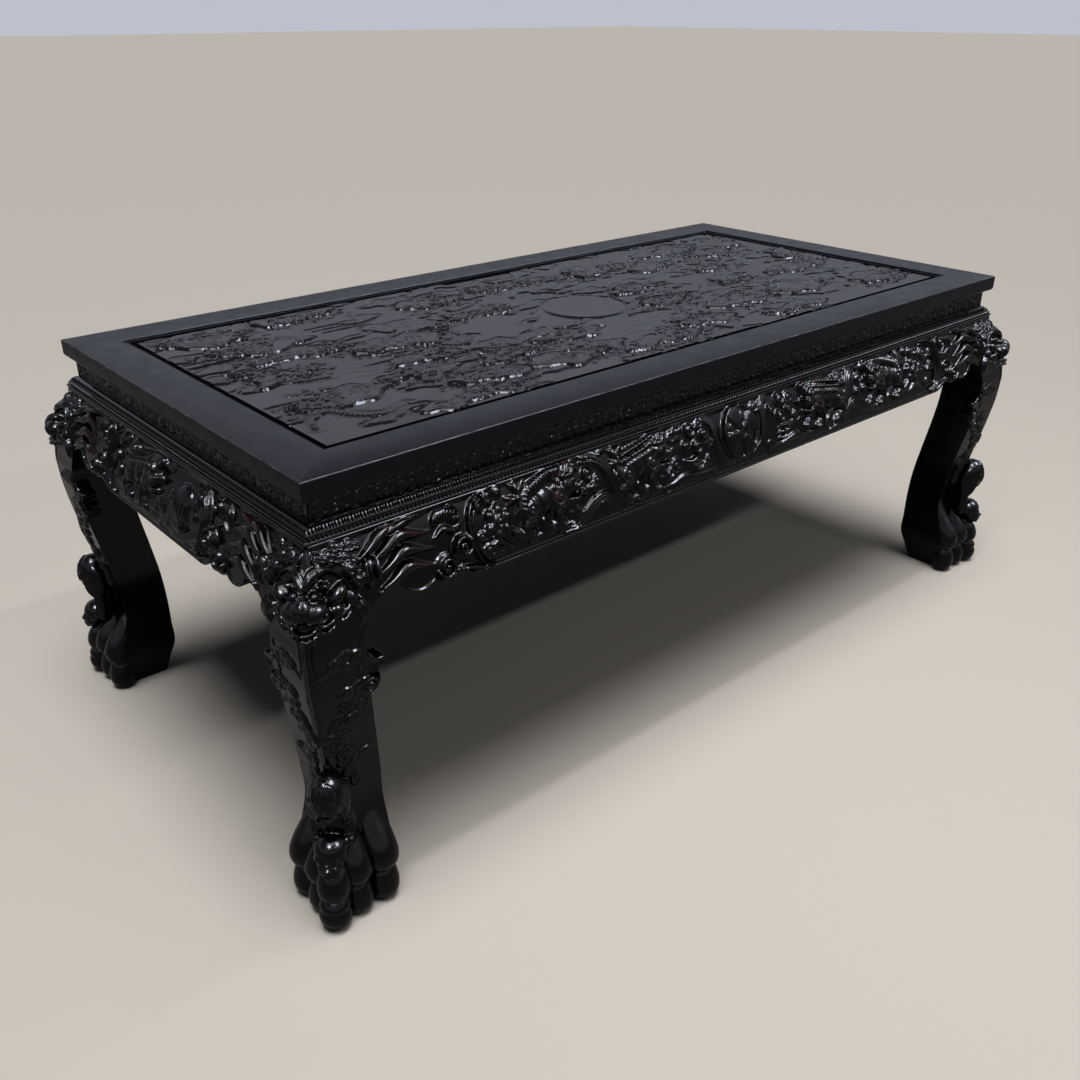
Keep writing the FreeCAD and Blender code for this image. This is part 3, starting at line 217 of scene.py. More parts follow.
class Relief:
    """Carved heights in millimetres above the ground of a face: u along it, v up it."""

    # Places compared with a path at a time, which spares memory
    BATCH = 20000

    def __init__(self, u0, u1, v0, v1, step):
        self.u = np.arange(u0, u1 + step / 2, step)
        self.v = np.arange(v0, v1 + step / 2, step)
        self.step = step
        self.height = np.zeros((len(self.v), len(self.u)))
        self.wear = np.zeros_like(self.height)

    def window(self, points, reach):
        """Part of the face within reach of some points: its slices and its places."""
        low, high = points.min(0) - reach, points.max(0) + reach
        c = slice(*np.searchsorted(self.u, (low[0], high[0])))
        r = slice(*np.searchsorted(self.v, (low[1], high[1])))
        uu, vv = np.meshgrid(self.u[c], self.v[r])
        return r, c, uu, vv

    def along(self, path, width):
        """Nearest point of a path for the places round it: share of its length, run, side and distance."""
        r, c, uu, vv = self.window(path, width)
        spots = np.stack([uu.ravel(), vv.ravel()], 1)
        if not len(spots):
            return r, c, None, None, None, None
        near = np.empty(len(spots), int)
        for k in range(0, len(spots), self.BATCH):
            batch = slice(k, k + self.BATCH)
            near[batch] = (((spots[batch][:, None] - path[None]) ** 2).sum(2)).argmin(1)
        away = spots - path[near]
        tangent = np.gradient(path, axis=0)
        tangent /= np.linalg.norm(tangent, axis=1)[:, None] + 1e-9
        run = np.concatenate([[0], np.cumsum(np.linalg.norm(np.diff(path, axis=0), axis=1))])
        side = away[:, 0] * -tangent[near, 1] + away[:, 1] * tangent[near, 0]
        return r, c, near / (len(path) - 1), run[near], side, np.hypot(*away.T)

    def stroke(self, path, width, height, thin=(1, 1), base=0.0, grooves=0, cut=0.45, ribs=0, flat=0.5, rub=0.0):
        """A rounded ridge along a path, thinner at its ends, with grooves along it or ribs across it."""
        path = np.asarray(path, float)
        r, c, t, run, side, gap = self.along(path, width / 2 + self.step)
        if t is None:
            return
        share = (thin[0] + (1 - thin[0]) * ease(t / 0.4)) * (thin[1] + (1 - thin[1]) * ease((1 - t) / 0.6))
        half = width / 2 * share + 1e-6
        across = gap / half
        crest = height * share**0.4 * np.clip(1 - across**2, 0, 1) ** flat
        if grooves:
            crest *= 1 - cut * np.clip(np.cos(math.pi * (grooves + 1) * (side / half + 1)), 0, 1)
        if ribs:
            crest *= 1 - cut * np.cos(math.pi * run / ribs) ** 4
        shape = self.height[r, c].shape
        new = np.where(across < 1, base + crest, 0).reshape(shape)
        won = new > self.height[r, c]
        self.height[r, c] = np.maximum(self.height[r, c], new)
        if rub:
            mark = (rub * np.clip(1 - across**2, 0, 1) * ease((t - 0.35) / 0.5)).reshape(shape)
            self.wear[r, c] = np.where(won, np.maximum(self.wear[r, c], mark), self.wear[r, c])

    def groove(self, path, width, depth):
        """A rounded line cut into what is there."""
        r, c, t, _, _, gap = self.along(np.asarray(path, float), width)
        if t is not None:
            dip = depth * np.clip(1 - (gap / (width / 2)) ** 2, 0, 1)
            self.height[r, c] -= dip.reshape(self.height[r, c].shape)

    def dome(self, u, v, ru, rv, height, turn=0.0, base=0.0, flat=0.5):
        """A rounded mass; turn is in turns and a small flat makes its sides steep."""
        r, c, uu, vv = self.window(np.array([[u, v]], float), max(ru, rv))
        if not uu.size:
            return
        x, y = oval(uu, vv, u, v, ru, rv, turn)
        rest = 1 - x**2 - y**2
        new = np.where(rest > 0, base + height * np.clip(rest, 0, 1) ** flat, 0)
        self.height[r, c] = np.maximum(self.height[r, c], new)

    def plate(self, lumps, height, rim=5.0):
        """A flat raised shape made of turned ovals, with a line cut along its rim."""
        reach = max(max(lump[2:4]) for lump in lumps)
        r, c, uu, vv = self.window(np.array([lump[:2] for lump in lumps], float), reach)
        inward = np.full(uu.shape, -9.0)
        for lump in lumps:
            inward = np.maximum(inward, (1 - np.hypot(*oval(uu, vv, *lump))) * min(lump[2:4]))
        new = height * (np.clip(inward / 1.8, 0, 1) - 0.55 * np.clip(1 - ((inward - rim) / 1.9) ** 2, 0, 1))
        self.height[r, c] = np.maximum(self.height[r, c], new)

    def soften(self, rounds):
        """Rubs the carving down a little, as sanding and lacquer do."""
        for _ in range(rounds):
            for axis in (0, 1):
                near = [np.roll(self.height, shift, axis) for shift in (-1, 1)]
                self.height = 0.5 * self.height + 0.25 * (near[0] + near[1])

    def rub(self, u, v, ru, rv, amount):
        """A dab of worn lacquer."""
        r, c, uu, vv = self.window(np.array([[u, v]], float), max(ru, rv))
        mark = amount * np.clip(1 - ((uu - u) / ru) ** 2 - ((vv - v) / rv) ** 2, 0, 1)
        self.wear[r, c] = np.maximum(self.wear[r, c], mark)

    def level_at(self, u, v):
        """Height at one place."""
        i = int(np.clip(round((v - self.v[0]) / self.step), 0, len(self.v) - 1))
        j = int(np.clip(round((u - self.u[0]) / self.step), 0, len(self.u) - 1))
        return self.height[i, j]

    def read(self, field, u, v):
        """Values of height or wear at places between the points; nothing outside the face."""
        x = (u - self.u[0]) / self.step
        y = (v - self.v[0]) / self.step
        inside = (x >= 0) & (y >= 0) & (x <= len(self.u) - 1) & (y <= len(self.v) - 1)
        i = np.clip(y.astype(int), 0, len(self.v) - 2)
        j = np.clip(x.astype(int), 0, len(self.u) - 2)
        fx = np.clip(x - j, 0, 1)
        fy = np.clip(y - i, 0, 1)
        mixed = ((field[i, j] * (1 - fx) + field[i, j + 1] * fx) * (1 - fy)
                 + (field[i + 1, j] * (1 - fx) + field[i + 1, j + 1] * fx) * fy)
        return np.where(inside, mixed, 0)


# Carved motifs
def volute(r, u, v, radius, height, sense=1, start=0.0):
    """A rolled scroll: a rim wound inwards round a deep hollow, with a small ball in the middle."""
    line, hub = radius * 0.36, radius * 0.24
    r.dome(u, v, radius, radius, height * 0.4, flat=0.2)
    rim = coil(u, v, radius - line / 2, 1.6, start, sense)
    r.stroke(rim, line, height * 0.75, base=height * 0.25, thin=(1, 0.7))
    r.dome(u, v, hub, hub, height)


def claws(r, u, v, size, facing, height):
    """A paw of four toes with their claws."""
    r.dome(u - facing * size * 0.5, v + size * 0.3, size * 0.9, size * 0.6, height * 0.8)
    for k in range(4):
        x = u + facing * size * (0.42 * k - 0.75)
        r.dome(x, v - size * 0.18 + 0.07 * size * k, size * 0.26, size * 0.42, height)


def flame(r, points, width, height, rub=0.0):
    """A smooth fat flame that swells, winds and ends in a fine point."""
    r.stroke(curve(points), width, height, thin=(0.35, 0.02), rub=rub)


def flames(r, u, v, length, count, aim, spread, height, rub=0.0):
    """A fan of pointed hair locks."""
    for k in range(count):
        a = 2 * math.pi * (aim + spread * (k / max(count - 1, 1) - 0.5))
        bend = 0.35 * (1 if k % 2 else -1)
        mid = (u + 0.55 * length * math.cos(a + bend * 0.6), v + 0.55 * length * math.sin(a + bend * 0.6))
        end = (u + length * math.cos(a), v + length * math.sin(a))
        r.stroke(curve([(u, v), mid, end]), length * 0.28, height, thin=(0.8, 0.05), rub=rub)


def lion(r, u, v, facing, scaled=False, rub=0.7):
    """A striding lion with a ribbed spine and a mane of small curls, seen from the side."""
    def at(x, y):
        return u + facing * x, v + y

    def line(points, width, height, **more):
        r.stroke(curve([at(*p) for p in points]), width, height, **more)

    # Tail of pointed locks
    flames(r, *at(-52, 22), 36, 6, 0.25 + 0.15 * facing, 0.5, 10, rub)
    line([(-34, 6), (-46, 18), (-54, 26)], 13, 11, thin=(1, 0.7))
    # Far legs
    line([(-22, -10), (-12, -30), (0, -46)], 15, 8, thin=(1, 0.7))
    claws(r, *at(4, -47), 16, facing, 9)
    line([(38, 0), (56, -16), (66, -34)], 15, 9, thin=(1, 0.7))
    claws(r, *at(72, -38), 16, facing, 10)
    # Body, haunch and shoulder
    r.dome(*at(-12, 4), 44, 23, 13, turn=0.04 * facing)
    r.groove(curve([at(-16, -20), at(-17, 2), at(-24, 22)]), 8, 4)
    r.dome(*at(-38, -4), 22, 24, 16)
    r.groove(curve([at(8, -18), at(10, 2), at(4, 20)]), 8, 4)
    r.dome(*at(28, 0), 20, 25, 15)
    # Near legs
    line([(-38, -10), (-53, -28), (-44, -46)], 20, 14, thin=(1, 0.75))
    claws(r, *at(-36, -48), 19, facing, 13)
    line([(28, -6), (20, -28), (24, -46)], 18, 14, thin=(1, 0.75))
    claws(r, *at(31, -48), 19, facing, 13)
    for x, y, s in ((-38, -2, 14), (28, 2, 12)):
        r.groove(coil(*at(x, y), s, 1.5, 0.25, facing), 4, 4)
    if scaled:
        for k in range(8):
            for m in range(3):
                r.dome(*at(-44 + 10 * k + 5 * m, 30 + 1.6 * k - 9 * m), 5.4, 4.6, 6, base=11)
    else:
        line([(-54, -2), (-40, 22), (-12, 33), (12, 40), (34, 44)], 20, 13, base=4, thin=(0.7, 1), ribs=7.4, cut=0.8)
    # Mane in two rows of curls round the head
    for ring, count, size in ((23, 8, 6.4), (33, 10, 7.0)):
        for k in range(count):
            a = 2 * math.pi * (0.14 + 0.52 * k / (count - 1))
            x, y = 54 + ring * math.cos(a), 16 + ring * math.sin(a)
            r.dome(*at(x, y), size, size, 12.5 - ring * 0.1, base=4)
            r.groove(coil(*at(x, y), size * 0.55, 0.8, k * 0.3, facing, inner=0.5), 2.4, 2.5)
            r.rub(*at(x, y), size, size, rub * (0.2 + 0.8 * (k % 3 == 1)))
    # Head: skull, muzzle, brow, eye, nose and open jaw
    r.dome(*at(56, 16), 18, 18, 17)
    r.dome(*at(70, 9), 14, 11, 20)
    line([(46, 30), (58, 30), (68, 23)], 9, 8, base=13, thin=(0.5, 0.6))
    r.dome(*at(61, 21), 5, 4.6, 7, base=14)
    r.dome(*at(79, 14), 6.5, 5.5, 22)
    r.groove(curve([at(58, -1), at(70, 0), at(84, 2)]), 7, 12)
    line([(57, -8), (68, -9), (80, -5)], 10, 16, thin=(0.6, 0.6))


def ribbon(r, points, width=18, height=9, count=3):
    """A waving sash of parallel strands."""
    path = curve(points)
    tangent = np.gradient(path, axis=0)
    tangent /= np.linalg.norm(tangent, axis=1)[:, None]
    normal = np.stack([-tangent[:, 1], tangent[:, 0]], 1)
    for k in range(count):
        shift = width * ((k + 0.5) / count - 0.5)
        r.stroke(path + normal * shift, width / count * 1.15, height - 1.2 * k, thin=(0.6, 0.5))


def cloud_fill(r, half, size, tries, seed):
    """Flat lobed clouds with a cut scroll, none overlapping, wherever the apron's ground is still bare."""
    rng = np.random.default_rng(seed)
    placed = []
    for _ in range(tries):
        u, v = rng.uniform(-half, half), rng.uniform(*CLOUD_LEVELS)
        s = size * rng.uniform(0.7, 1.25)
        start, sense = rng.uniform(0, 1), rng.choice((-1, 1))
        rim = [(u + 0.8 * s * math.cos(b), v + 0.8 * s * math.sin(b)) for b in (0, 1.6, 3.1, 4.7)]
        taken = any(r.level_at(*spot) >= 0.5 for spot in rim)
        if taken or any(math.hypot(u - x, v - y) < 1.05 * (s + q) for x, y, q in placed):
            continue
        placed.append((u, v, s))
        tail = sense * 1.25 * s
        r.plate([(u, v, s, s * 0.9, 0), (u + tail * 0.7, v - 0.35 * s, s * 0.9, s * 0.5, -0.03 * sense),
                 (u + tail * 1.4, v - 0.55 * s, s * 0.6, s * 0.28, 0)], APRON_CLOUD_RISE)
        r.groove(coil(u, v, 0.62 * s, 1.3, start, sense), 0.3 * s, APRON_CLOUD_RISE * 0.6)


@functools.cache
def carve_corner():
    """The corner's carving: beast mask on the shoulder, flame locks, scrolls, and the leg's clouds."""
    r = Relief(-66, 350, CARVING_FOOT, 716, CORNER_STEP)
    # Flame locks streaming back from the mask
    for points, width, rub in (
            (((72, 670), (100, 683), (130, 697), (174, 701)), 17, 0.9),
            (((112, 686), (140, 694), (172, 700), (212, 701)), 12, 0.5),
            (((92, 662), (122, 672), (152, 683), (182, 678), (216, 674)), 21, 1.0),
            (((104, 641), (128, 650), (154, 660), (184, 653), (216, 647)), 21, 0.8),
            (((102, 617), (128, 626), (154, 636), (182, 629), (212, 622)), 20, 1.0)):
        flame(r, points, width, 14, rub)
    # Ribbed flower, the two lower volutes and the C-scroll that frames the lions
    for k in range(5):
        rib = curve([(214 + 6 * k, 676 + 2 * k), (218 + 6 * k, 690 + k), (228 + 5 * k, 699)])
        r.stroke(rib, 6, 10, thin=(0.4, 0.6))
    volute(r, 256, 688, 14, 12, -1, 0.3)
    flame(r, ((212, 662), (230, 671), (252, 664), (274, 672)), 12, 9)
    volute(r, 222, 614, 22, 14, 1, 0.55)
    volute(r, 262, 634, 22, 15, -1, 0.5)
    ribbon(r, [(318, 588), (298, 602), (287, 624), (283, 652), (289, 678), (306, 695), (340, 702)], 14, 13, 2)
    r.stroke(curve([(240, 603), (258, 600), (276, 596), (300, 588)]), 8, 10, thin=(0.5, 1))
    # Mask: flat hair curls over the brow, leaving the corner itself plain
    for u, v, s in ((52, 678, 13), (28, 686, 12), (6, 690, 10), (66, 694, 10), (40, 698, 9)):
        r.plate([(u, v, s, s, 0), (u + s, v - 0.5 * s, s * 0.8, s * 0.5, 0)], 6.5, 4.0)
        r.groove(coil(u, v, s * 0.5, 1.1, 0.1, 1), 3.2, 3.5)
    # Mask: ear with a deep hollow, and the lobes in front of it
    r.dome(88, 648, 17, 27, 18, turn=-0.04)
    r.groove(curve([(90, 664), (86, 648), (89, 630)]), 17, 14)
    for u, v, s in ((54, 662, 14), (62, 644, 14)):
        r.dome(u, v, s, s, 14, flat=0.6)
        r.groove(coil(u, v, s * 0.55, 0.8, 0.1, 1, inner=0.4), 3.5, 4)
    # Mask: brow, eye and cheeks
    brow = curve([(-40, 648), (-24, 662), (-2, 673), (20, 671), (36, 658)])
    r.stroke(brow, 19, 12, thin=(0.6, 0.3), grooves=2, cut=0.35, flat=0.8)
    r.dome(4, 652, 13, 7, 10)
    r.dome(4, 652, 7, 5, 14)
    r.groove(coil(4, 652, 9, 1, 0, 1, inner=1.0), 3, 5)
    r.dome(-16, 642, 9, 8, 13, turn=0.08)
    r.dome(23, 634, 23, 13, 16, turn=0.09, flat=0.7)
    r.dome(44, 622, 12, 15, 12, flat=0.7)
    # Mask: muzzle and nose; the corner itself lies at minus the swell
    corner = -float(swell(628))
    r.dome(corner + 22, 619, 25, 19, 23, flat=0.6)
    r.dome(corner + 4, 627, 17, 22, 21, flat=0.6)
    r.groove(curve([(corner + 2, 598), (corner + 1, 610), (corner, 622)]), 6, 6)
    r.groove(coil(corner + 35, 612, 7, 0.7, 0.3, 1, inner=0.9), 6, 9)
    r.groove(curve([(3, 642), (6, 630), (5, 618), (11, 608)]), 5, 8)
    r.dome(16, 613, 14, 9, 12)
    # Mask: scalloped double lip and the hanging lock
    for drop, width in ((0, 9), (9, 6.5)):
        for points in (((-54, 592), (-42, 590), (-28, 593), (-20, 600)), ((-20, 597), (-8, 595), (6, 599), (13, 608)),
                       ((13, 605), (25, 604), (37, 612))):
            r.stroke(curve([(u, v - drop) for u, v in points]), width, 11)
    for k in range(3):
        lock = ((42 + 9 * k, 622 - 2 * k), (48 + 8 * k, 604), (56 + 4 * k, 588 - 3 * k), (50 + 3 * k, 566 + 4 * k))
        flame(r, lock, 14, 11)
    # Leg: incised cartouche with its hook, and the small ring
    r.groove(curve([(-22, 578), (-33, 566), (-37, 546), (-35, 526), (-29, 514), (-20, 510)]), 5, 4)
    r.plate([(-17, 513, 8, 6, 0.05), (-24, 509, 7, 4, 0)], 4, 3.4)
    r.groove(coil(-33, 467, 6.5, 0.8, 0.1, 1, inner=0.8), 4.5, 3)
    # Leg: the cloud at the knee and the long one below it, with scrolls cut into them
    r.plate([(2, 522, 17, 11, 0.04), (20, 529, 16, 12, 0), (38, 523, 17, 13, -0.05), (52, 510, 14, 10, -0.08),
             (22, 514, 26, 9, -0.03)], LEG_CLOUD_RISE)
    for u, v, s, sense in ((4, 522, 6, 1), (22, 524, 8, -1), (41, 518, 8, 1)):
        r.groove(coil(u, v, s, 1.2, 0.3, sense), 3.4, 3.2)
    r.plate([(46, 466, 26, 11, 0.02), (18, 456, 18, 16, 0), (22, 436, 19, 16, 0), (44, 428, 20, 8, -0.06),
             (6, 412, 17, 10, 0.08), (-4, 398, 15, 9, 0.1), (24, 404, 22, 10, 0.04), (-8, 374, 20, 17, 0),
             (14, 384, 18, 11, -0.06), (4, 354, 16, 13, 0), (18, 330, 20, 15, -0.05), (24, 314, 24, 16, 0),
             (48, 318, 20, 8, 0.05), (26, 288, 15, 15, 0), (36, 264, 11, 18, 0.02)], LEG_CLOUD_RISE)
    for u, v, s, sense in ((18, 440, 10, 1), (-8, 376, 10, -1), (22, 318, 11, 1), (12, 407, 7, -1), (28, 288, 7, 1)):
        r.groove(coil(u, v, s, 1.35, 0.3, sense), 3.6, 3.4)
    r.soften(1)
    return r


# Middle of the long apron's carving, left of the table's own middle
BALL_PLACE = -28


def carve_long_apron():
    """The long apron's middle: four lions, waving sashes and clouds round an embroidered ball."""
    r = Relief(-716, 716, *APRON_LEVELS, APRON_STEP)
    centre, middle = BALL_PLACE, APRON_MIDDLE

    def half(way, place):
        """One half, drawn left of the ball; a place turns it to its own side."""
        def band(points, *more):
            ribbon(r, [(place(x), y) for x, y in points], *more)

        def flame_at(points, *more):
            flame(r, [(place(x), y) for x, y in points], *more)

        def volutes(places, height, start):
            for x, y, s in places:
                volute(r, place(x), y, s, height, way, start)

        # Open flower with leaves inside the C-scroll
        r.dome(place(-660), 652, 23, 23, 8, flat=0.3)
        for k in range(6):
            a = 0.3 + 2 * math.pi * k / 6
            r.dome(place(-660 + 19 * math.cos(a)), 652 + 19 * math.sin(a), 11, 9, 11, turn=a / (2 * math.pi))
        volute(r, place(-660), 652, 12, 15, way, 0.2)
        for k in range(4):
            flame_at([(-640 + 9 * k, 640 - 6 * k), (-628 + 9 * k, 620 - 3 * k), (-610 + 6 * k, 606 - k)], 10, 10)
        volutes(((-670, 692, 11), (-646, 697, 9), (-692, 684, 8)), 10, 0.1)
        flame_at([(-690, 612), (-668, 622), (-650, 612), (-628, 596)], 12, 9)
        # Outer lion with its sashes
        lion(r, place(-552), middle, way, rub=0.8)
        band([(-452, 704), (-424, 698), (-404, 682), (-392, 656), (-378, 628), (-352, 606), (-318, 597)], 22, 11)
        band([(-520, 598), (-490, 600), (-464, 612), (-440, 626), (-414, 630), (-394, 616), (-372, 600)], 18, 10)
        volutes(((-446, 676, 13), (-462, 652, 10), (-436, 650, 10), (-470, 696, 9)), 10, 0.3)
        flame_at([(-424, 706), (-412, 700), (-396, 704), (-378, 698)], 8, 8)
        # Inner lion with the clouds and sashes beside the ball
        lion(r, place(-318), middle + 1, way, scaled=True, rub=0.6)
        volutes(((-168, 688, 15), (-158, 656, 14), (-132, 674, 11), (-188, 664, 10)), 12, 0.4)
        for k in range(3):
            flame_at([(-200 + 8 * k, 640 - 9 * k), (-180 + 8 * k, 634 - 10 * k), (-160 + 6 * k, 638 - 12 * k),
                      (-136, 630 - 11 * k)], 10, 9)
        band([(-262, 597), (-232, 600), (-204, 608), (-176, 602), (-150, 597), (-112, 598)], 15, 8)
        band([(-128, 704), (-108, 690), (-104, 664), (-96, 634), (-80, 612), (-56, 600)], 16, 10)

    half(1, lambda u: u)
    half(-1, lambda u: 2 * centre - u)
    # Embroidered ball: four broad sectors, four sunk ones with bosses, and a ringed hub
    r.dome(centre, middle, 53, 51, 9, flat=0.25)
    r.stroke(coil(centre, middle, 48.5, 1, 0, 1, inner=1.0), 7, 5, base=8)
    for k in range(4):
        a = 2 * math.pi * (k / 4 + 0.06)
        for fan in np.linspace(-0.36, 0.36, 11):
            x, y = math.cos(a + fan), math.sin(a + fan)
            spoke = curve([(centre + 12 * x, middle + 12 * y), (centre + 42 * x, middle + 41 * y)])
            r.stroke(spoke, 9, 4, base=9, flat=0.2)
        b = a + math.pi / 4
        volute(r, centre + 30 * math.cos(b), middle + 29 * math.sin(b), 9, 13, 1, 0.2)
    volute(r, centre, middle, 10, 15, 1, 0.1)
    cloud_fill(r, 712, 14, 260, SEED + 1)
    r.soften(2)
    return r


def carve_short_apron():
    """The short apron's middle: a lion reaching for a melon-shaped ball among clouds."""
    r = Relief(-210, 210, *APRON_LEVELS, APRON_STEP)
    lion(r, -64, APRON_MIDDLE, 1, scaled=True, rub=0.3)
    u, v = 112, APRON_MIDDLE
    r.dome(u, v, 33, 35, 15, flat=0.4)
    for k in range(6):
        x = u - 27 + 10.8 * k
        pole = u + (x - u) * 0.35
        r.groove(curve([(pole, v + 36), (x, v), (pole, v - 36)]), 5, 4.5)
    volute(r, u + 4, v - 36, 13, 13, 1, 0.2)
    for x, y, s in ((164, 680, 15), (160, 650, 13), (188, 662, 12), (-170, 688, 14), (-146, 696, 9), (184, 694, 9),
                    (-178, 658, 12), (-158, 636, 13)):
        volute(r, x, y, s, 11, 1 if x > 0 else -1, 0.3)
    ribbon(r, [(-196, 612), (-160, 604), (-120, 598), (-70, 596), (-20, 600), (30, 596)], 16, 9)
    ribbon(r, [(56, 606), (88, 598), (124, 600), (160, 616), (192, 624)], 16, 9)
    cloud_fill(r, 206, 16, 90, SEED + 2)
    r.soften(4)
    return r


def carve_waist(half):
    """Dense small scrolls that fill the waist."""
    r = Relief(-half, half, WAIST_BOTTOM, RAIL_BOTTOM, APRON_STEP)
    rng = np.random.default_rng(SEED + 3)
    middle = (WAIST_BOTTOM + RAIL_BOTTOM) / 2
    line = 4.4
    for k, s in enumerate(np.arange(-half + 14, half - 13, 19.0)):
        way = 1 if k % 2 else -1
        u, v = s + rng.uniform(-4, 4), middle + 5 * way + rng.uniform(-2, 2)
        r.stroke(coil(u, v, rng.uniform(7, 10.5), 1.3, rng.uniform(0, 1), way), line, 2.8, thin=(1, 0.5))
        vine = curve([(s - 12, middle - 14 * way), (s - 2, middle - 9 * way), (s + 8, middle - 14 * way),
                      (s + 15, middle - 3 * way)])
        r.stroke(vine, line, 2.6, thin=(0.4, 0.3))
        for _ in range(3):
            u, v = s + rng.uniform(-10, 10), middle + rng.uniform(-15, 15)
            r.stroke(coil(u, v, 4.0, 0.8, rng.uniform(0, 1), way, inner=0.5), 3.0, 2.2)
    return r


# Cloud banks of the top's field, as shares of half its length and width: centre, then half sizes
CLOUD_BANKS = (
    (-0.83, -0.49, 0.10, 0.12), (-0.60, -0.46, 0.07, 0.10), (-0.52, -0.67, 0.09, 0.10), (-0.32, -0.72, 0.10, 0.10),
    (-0.64, -0.88, 0.13, 0.06), (-0.40, -0.46, 0.06, 0.10), (-0.20, -0.43, 0.10, 0.07), (-0.06, -0.79, 0.12, 0.09),
    (0.15, -0.70, 0.07, 0.09), (0.37, -0.53, 0.10, 0.11), (0.60, -0.53, 0.12, 0.13), (0.43, -0.85, 0.10, 0.07),
    (0.87, -0.72, 0.10, 0.13), (-0.75, 0.23, 0.10, 0.08), (-0.52, 0.08, 0.12, 0.12), (-0.87, -0.02, 0.06, 0.15),
    (-0.56, -0.21, 0.07, 0.10), (-0.24, 0.25, 0.10, 0.06), (0.25, 0.10, 0.07, 0.08), (0.23, -0.24, 0.09, 0.07),
    (0.53, -0.15, 0.07, 0.10), (0.60, 0.17, 0.07, 0.08), (0.81, -0.19, 0.11, 0.10), (0.92, 0.15, 0.05, 0.15),
    (-0.85, 0.76, 0.10, 0.13), (-0.61, 0.86, 0.13, 0.08), (-0.77, 0.45, 0.11, 0.10), (-0.28, 0.66, 0.08, 0.12),
    (-0.06, 0.67, 0.07, 0.07), (0.12, 0.63, 0.07, 0.06), (0.31, 0.63, 0.10, 0.13), (0.48, 0.46, 0.08, 0.10),
    (0.66, 0.74, 0.12, 0.13), (0.88, 0.70, 0.09, 0.15), (0.76, 0.45, 0.07, 0.09),
)
# Height of the plain field above the sunk groove round it
FIELD_RISE = 8.0


# The plain disc in the field: place and radius
DISC_SHARE = (0.015, -0.025)
DISC_RADIUS = 98.0


def panel_ground(uu, vv, half_x, half_y, rng):
    """Heights of the field: flat cloud banks and lower drifts, with lines cut along their rims."""
    # The outlines waver, so that they run in lobes and tongues
    wu = uu + 17 * np.sin(vv / 21 + 1.3 * np.sin(uu / 57)) + 7 * np.sin(vv / 8.5 + uu / 37)
    wv = vv + 9 * np.sin(uu / 25 + 1.7 * np.sin(vv / 33)) + 4.5 * np.sin(uu / 10 - vv / 27)
    bank = np.full_like(uu, -9.0)
    reach = np.ones_like(uu)
    for x, y, rx, ry in CLOUD_BANKS:
        x, y, rx, ry = x * half_x, y * half_y, rx * half_x, ry * half_y
        inside = 1 - ((wu - x) / rx) ** 2 - ((wv - y) / ry) ** 2
        won = inside > bank
        bank = np.where(won, inside, bank)
        reach = np.where(won, math.sqrt(rx * ry), reach)
    inward = (1 - np.sqrt(np.clip(1 - bank, 0, None))) * reach
    plate = np.clip(inward / 2.0, 0, 1)
    moat = np.clip(1 - ((inward + 3.5) / 4.0) ** 2, 0, 1)
    lines = cut_lines(inward / 12.0 + 0.35 * np.sin(uu / 43) + 0.3 * np.sin(vv / 29), 3)
    # Fainter lines in the field, in patches
    stir = cut_lines(vv / 21 + 0.9 * np.sin(uu / 49 + vv / 80) + 0.5 * np.sin(uu / 23 - vv / 31), 6)
    calm = np.clip(np.sin(uu / 97 + 1.1) + np.sin(vv / 61 + uu / 150), 0, 1)
    # Low drifts between the banks
    drift = np.full_like(uu, -99.0)
    for _ in range(DRIFTS):
        x, y = rng.uniform(-half_x, half_x), rng.uniform(-half_y, half_y)
        rx, ry = rng.uniform(34, 84), rng.uniform(12, 27)
        drift = np.maximum(drift, (1 - np.hypot((wu - x) / rx, (wv - y) / ry)) * ry)
    drift = np.minimum(drift, -inward - 9)
    low = np.clip(drift / 2.0, 0, 1)
    shore = np.clip(1 - ((drift + 2.5) / 3.0) ** 2, 0, 1)
    veins = cut_lines(drift / 9.0 + 0.3 * np.sin(uu / 37), 3)
    return (FIELD_RISE + plate * (BANK_RISE - 2.0 * lines) + low * (DRIFT_RISE - DRIFT_RISE * veins)
            - (1 - plate) * (0.8 * stir * calm * (1 - low) + 3.4 * moat + 2.2 * shore))


def cut_lines(phase, sharpness):
    """Narrow lines, one to each whole turn of a phase."""
    return np.clip(np.cos(2 * math.pi * phase), 0, 1) ** sharpness


def panel_curls(r, half_x, half_y, disc, rng):
    """Small curls in clusters along the banks' rims, clear of each other, of the border and of the disc."""
    margin = 22
    placed = []
    for x, y, rx, ry in CLOUD_BANKS:
        for _ in range(4):
            a = rng.uniform(0, 2 * math.pi)
            cu, cv = x * half_x + rx * half_x * math.cos(a), y * half_y + ry * half_y * math.sin(a)
            for _ in range(26):
                u, v = cu + rng.normal(0, 26), cv + rng.normal(0, 15)
                s, turn, sense = rng.uniform(5, 9.5), rng.uniform(0, 1), rng.choice((-1, 1))
                if abs(u) > half_x - margin or abs(v) > half_y - margin:
                    continue
                if math.hypot(u - disc[0], v - disc[1]) < DISC_RADIUS + 14:
                    continue
                if any(abs(u - p) < s + w and math.hypot(u - p, v - q) < 0.95 * (s + w) for p, q, w in placed):
                    continue
                placed.append((u, v, s))
                base = r.level_at(u, v) - 0.6
                r.groove(coil(u, v, s * 1.05, 1, 0, 1, inner=1.0), 4.5, 1.5)
                r.stroke(coil(u, v, s * 0.75, 1.1, turn, sense, inner=0.3), s * 0.55, 2.1, base=base, thin=(1, 0.5))
                tail = curve([(u + s, v), (u + 1.6 * s, v - 0.5 * s * sense), (u + 2.6 * s, v)])
                r.stroke(tail, s * 0.5, 1.8, base=base, thin=(1, 0.1))


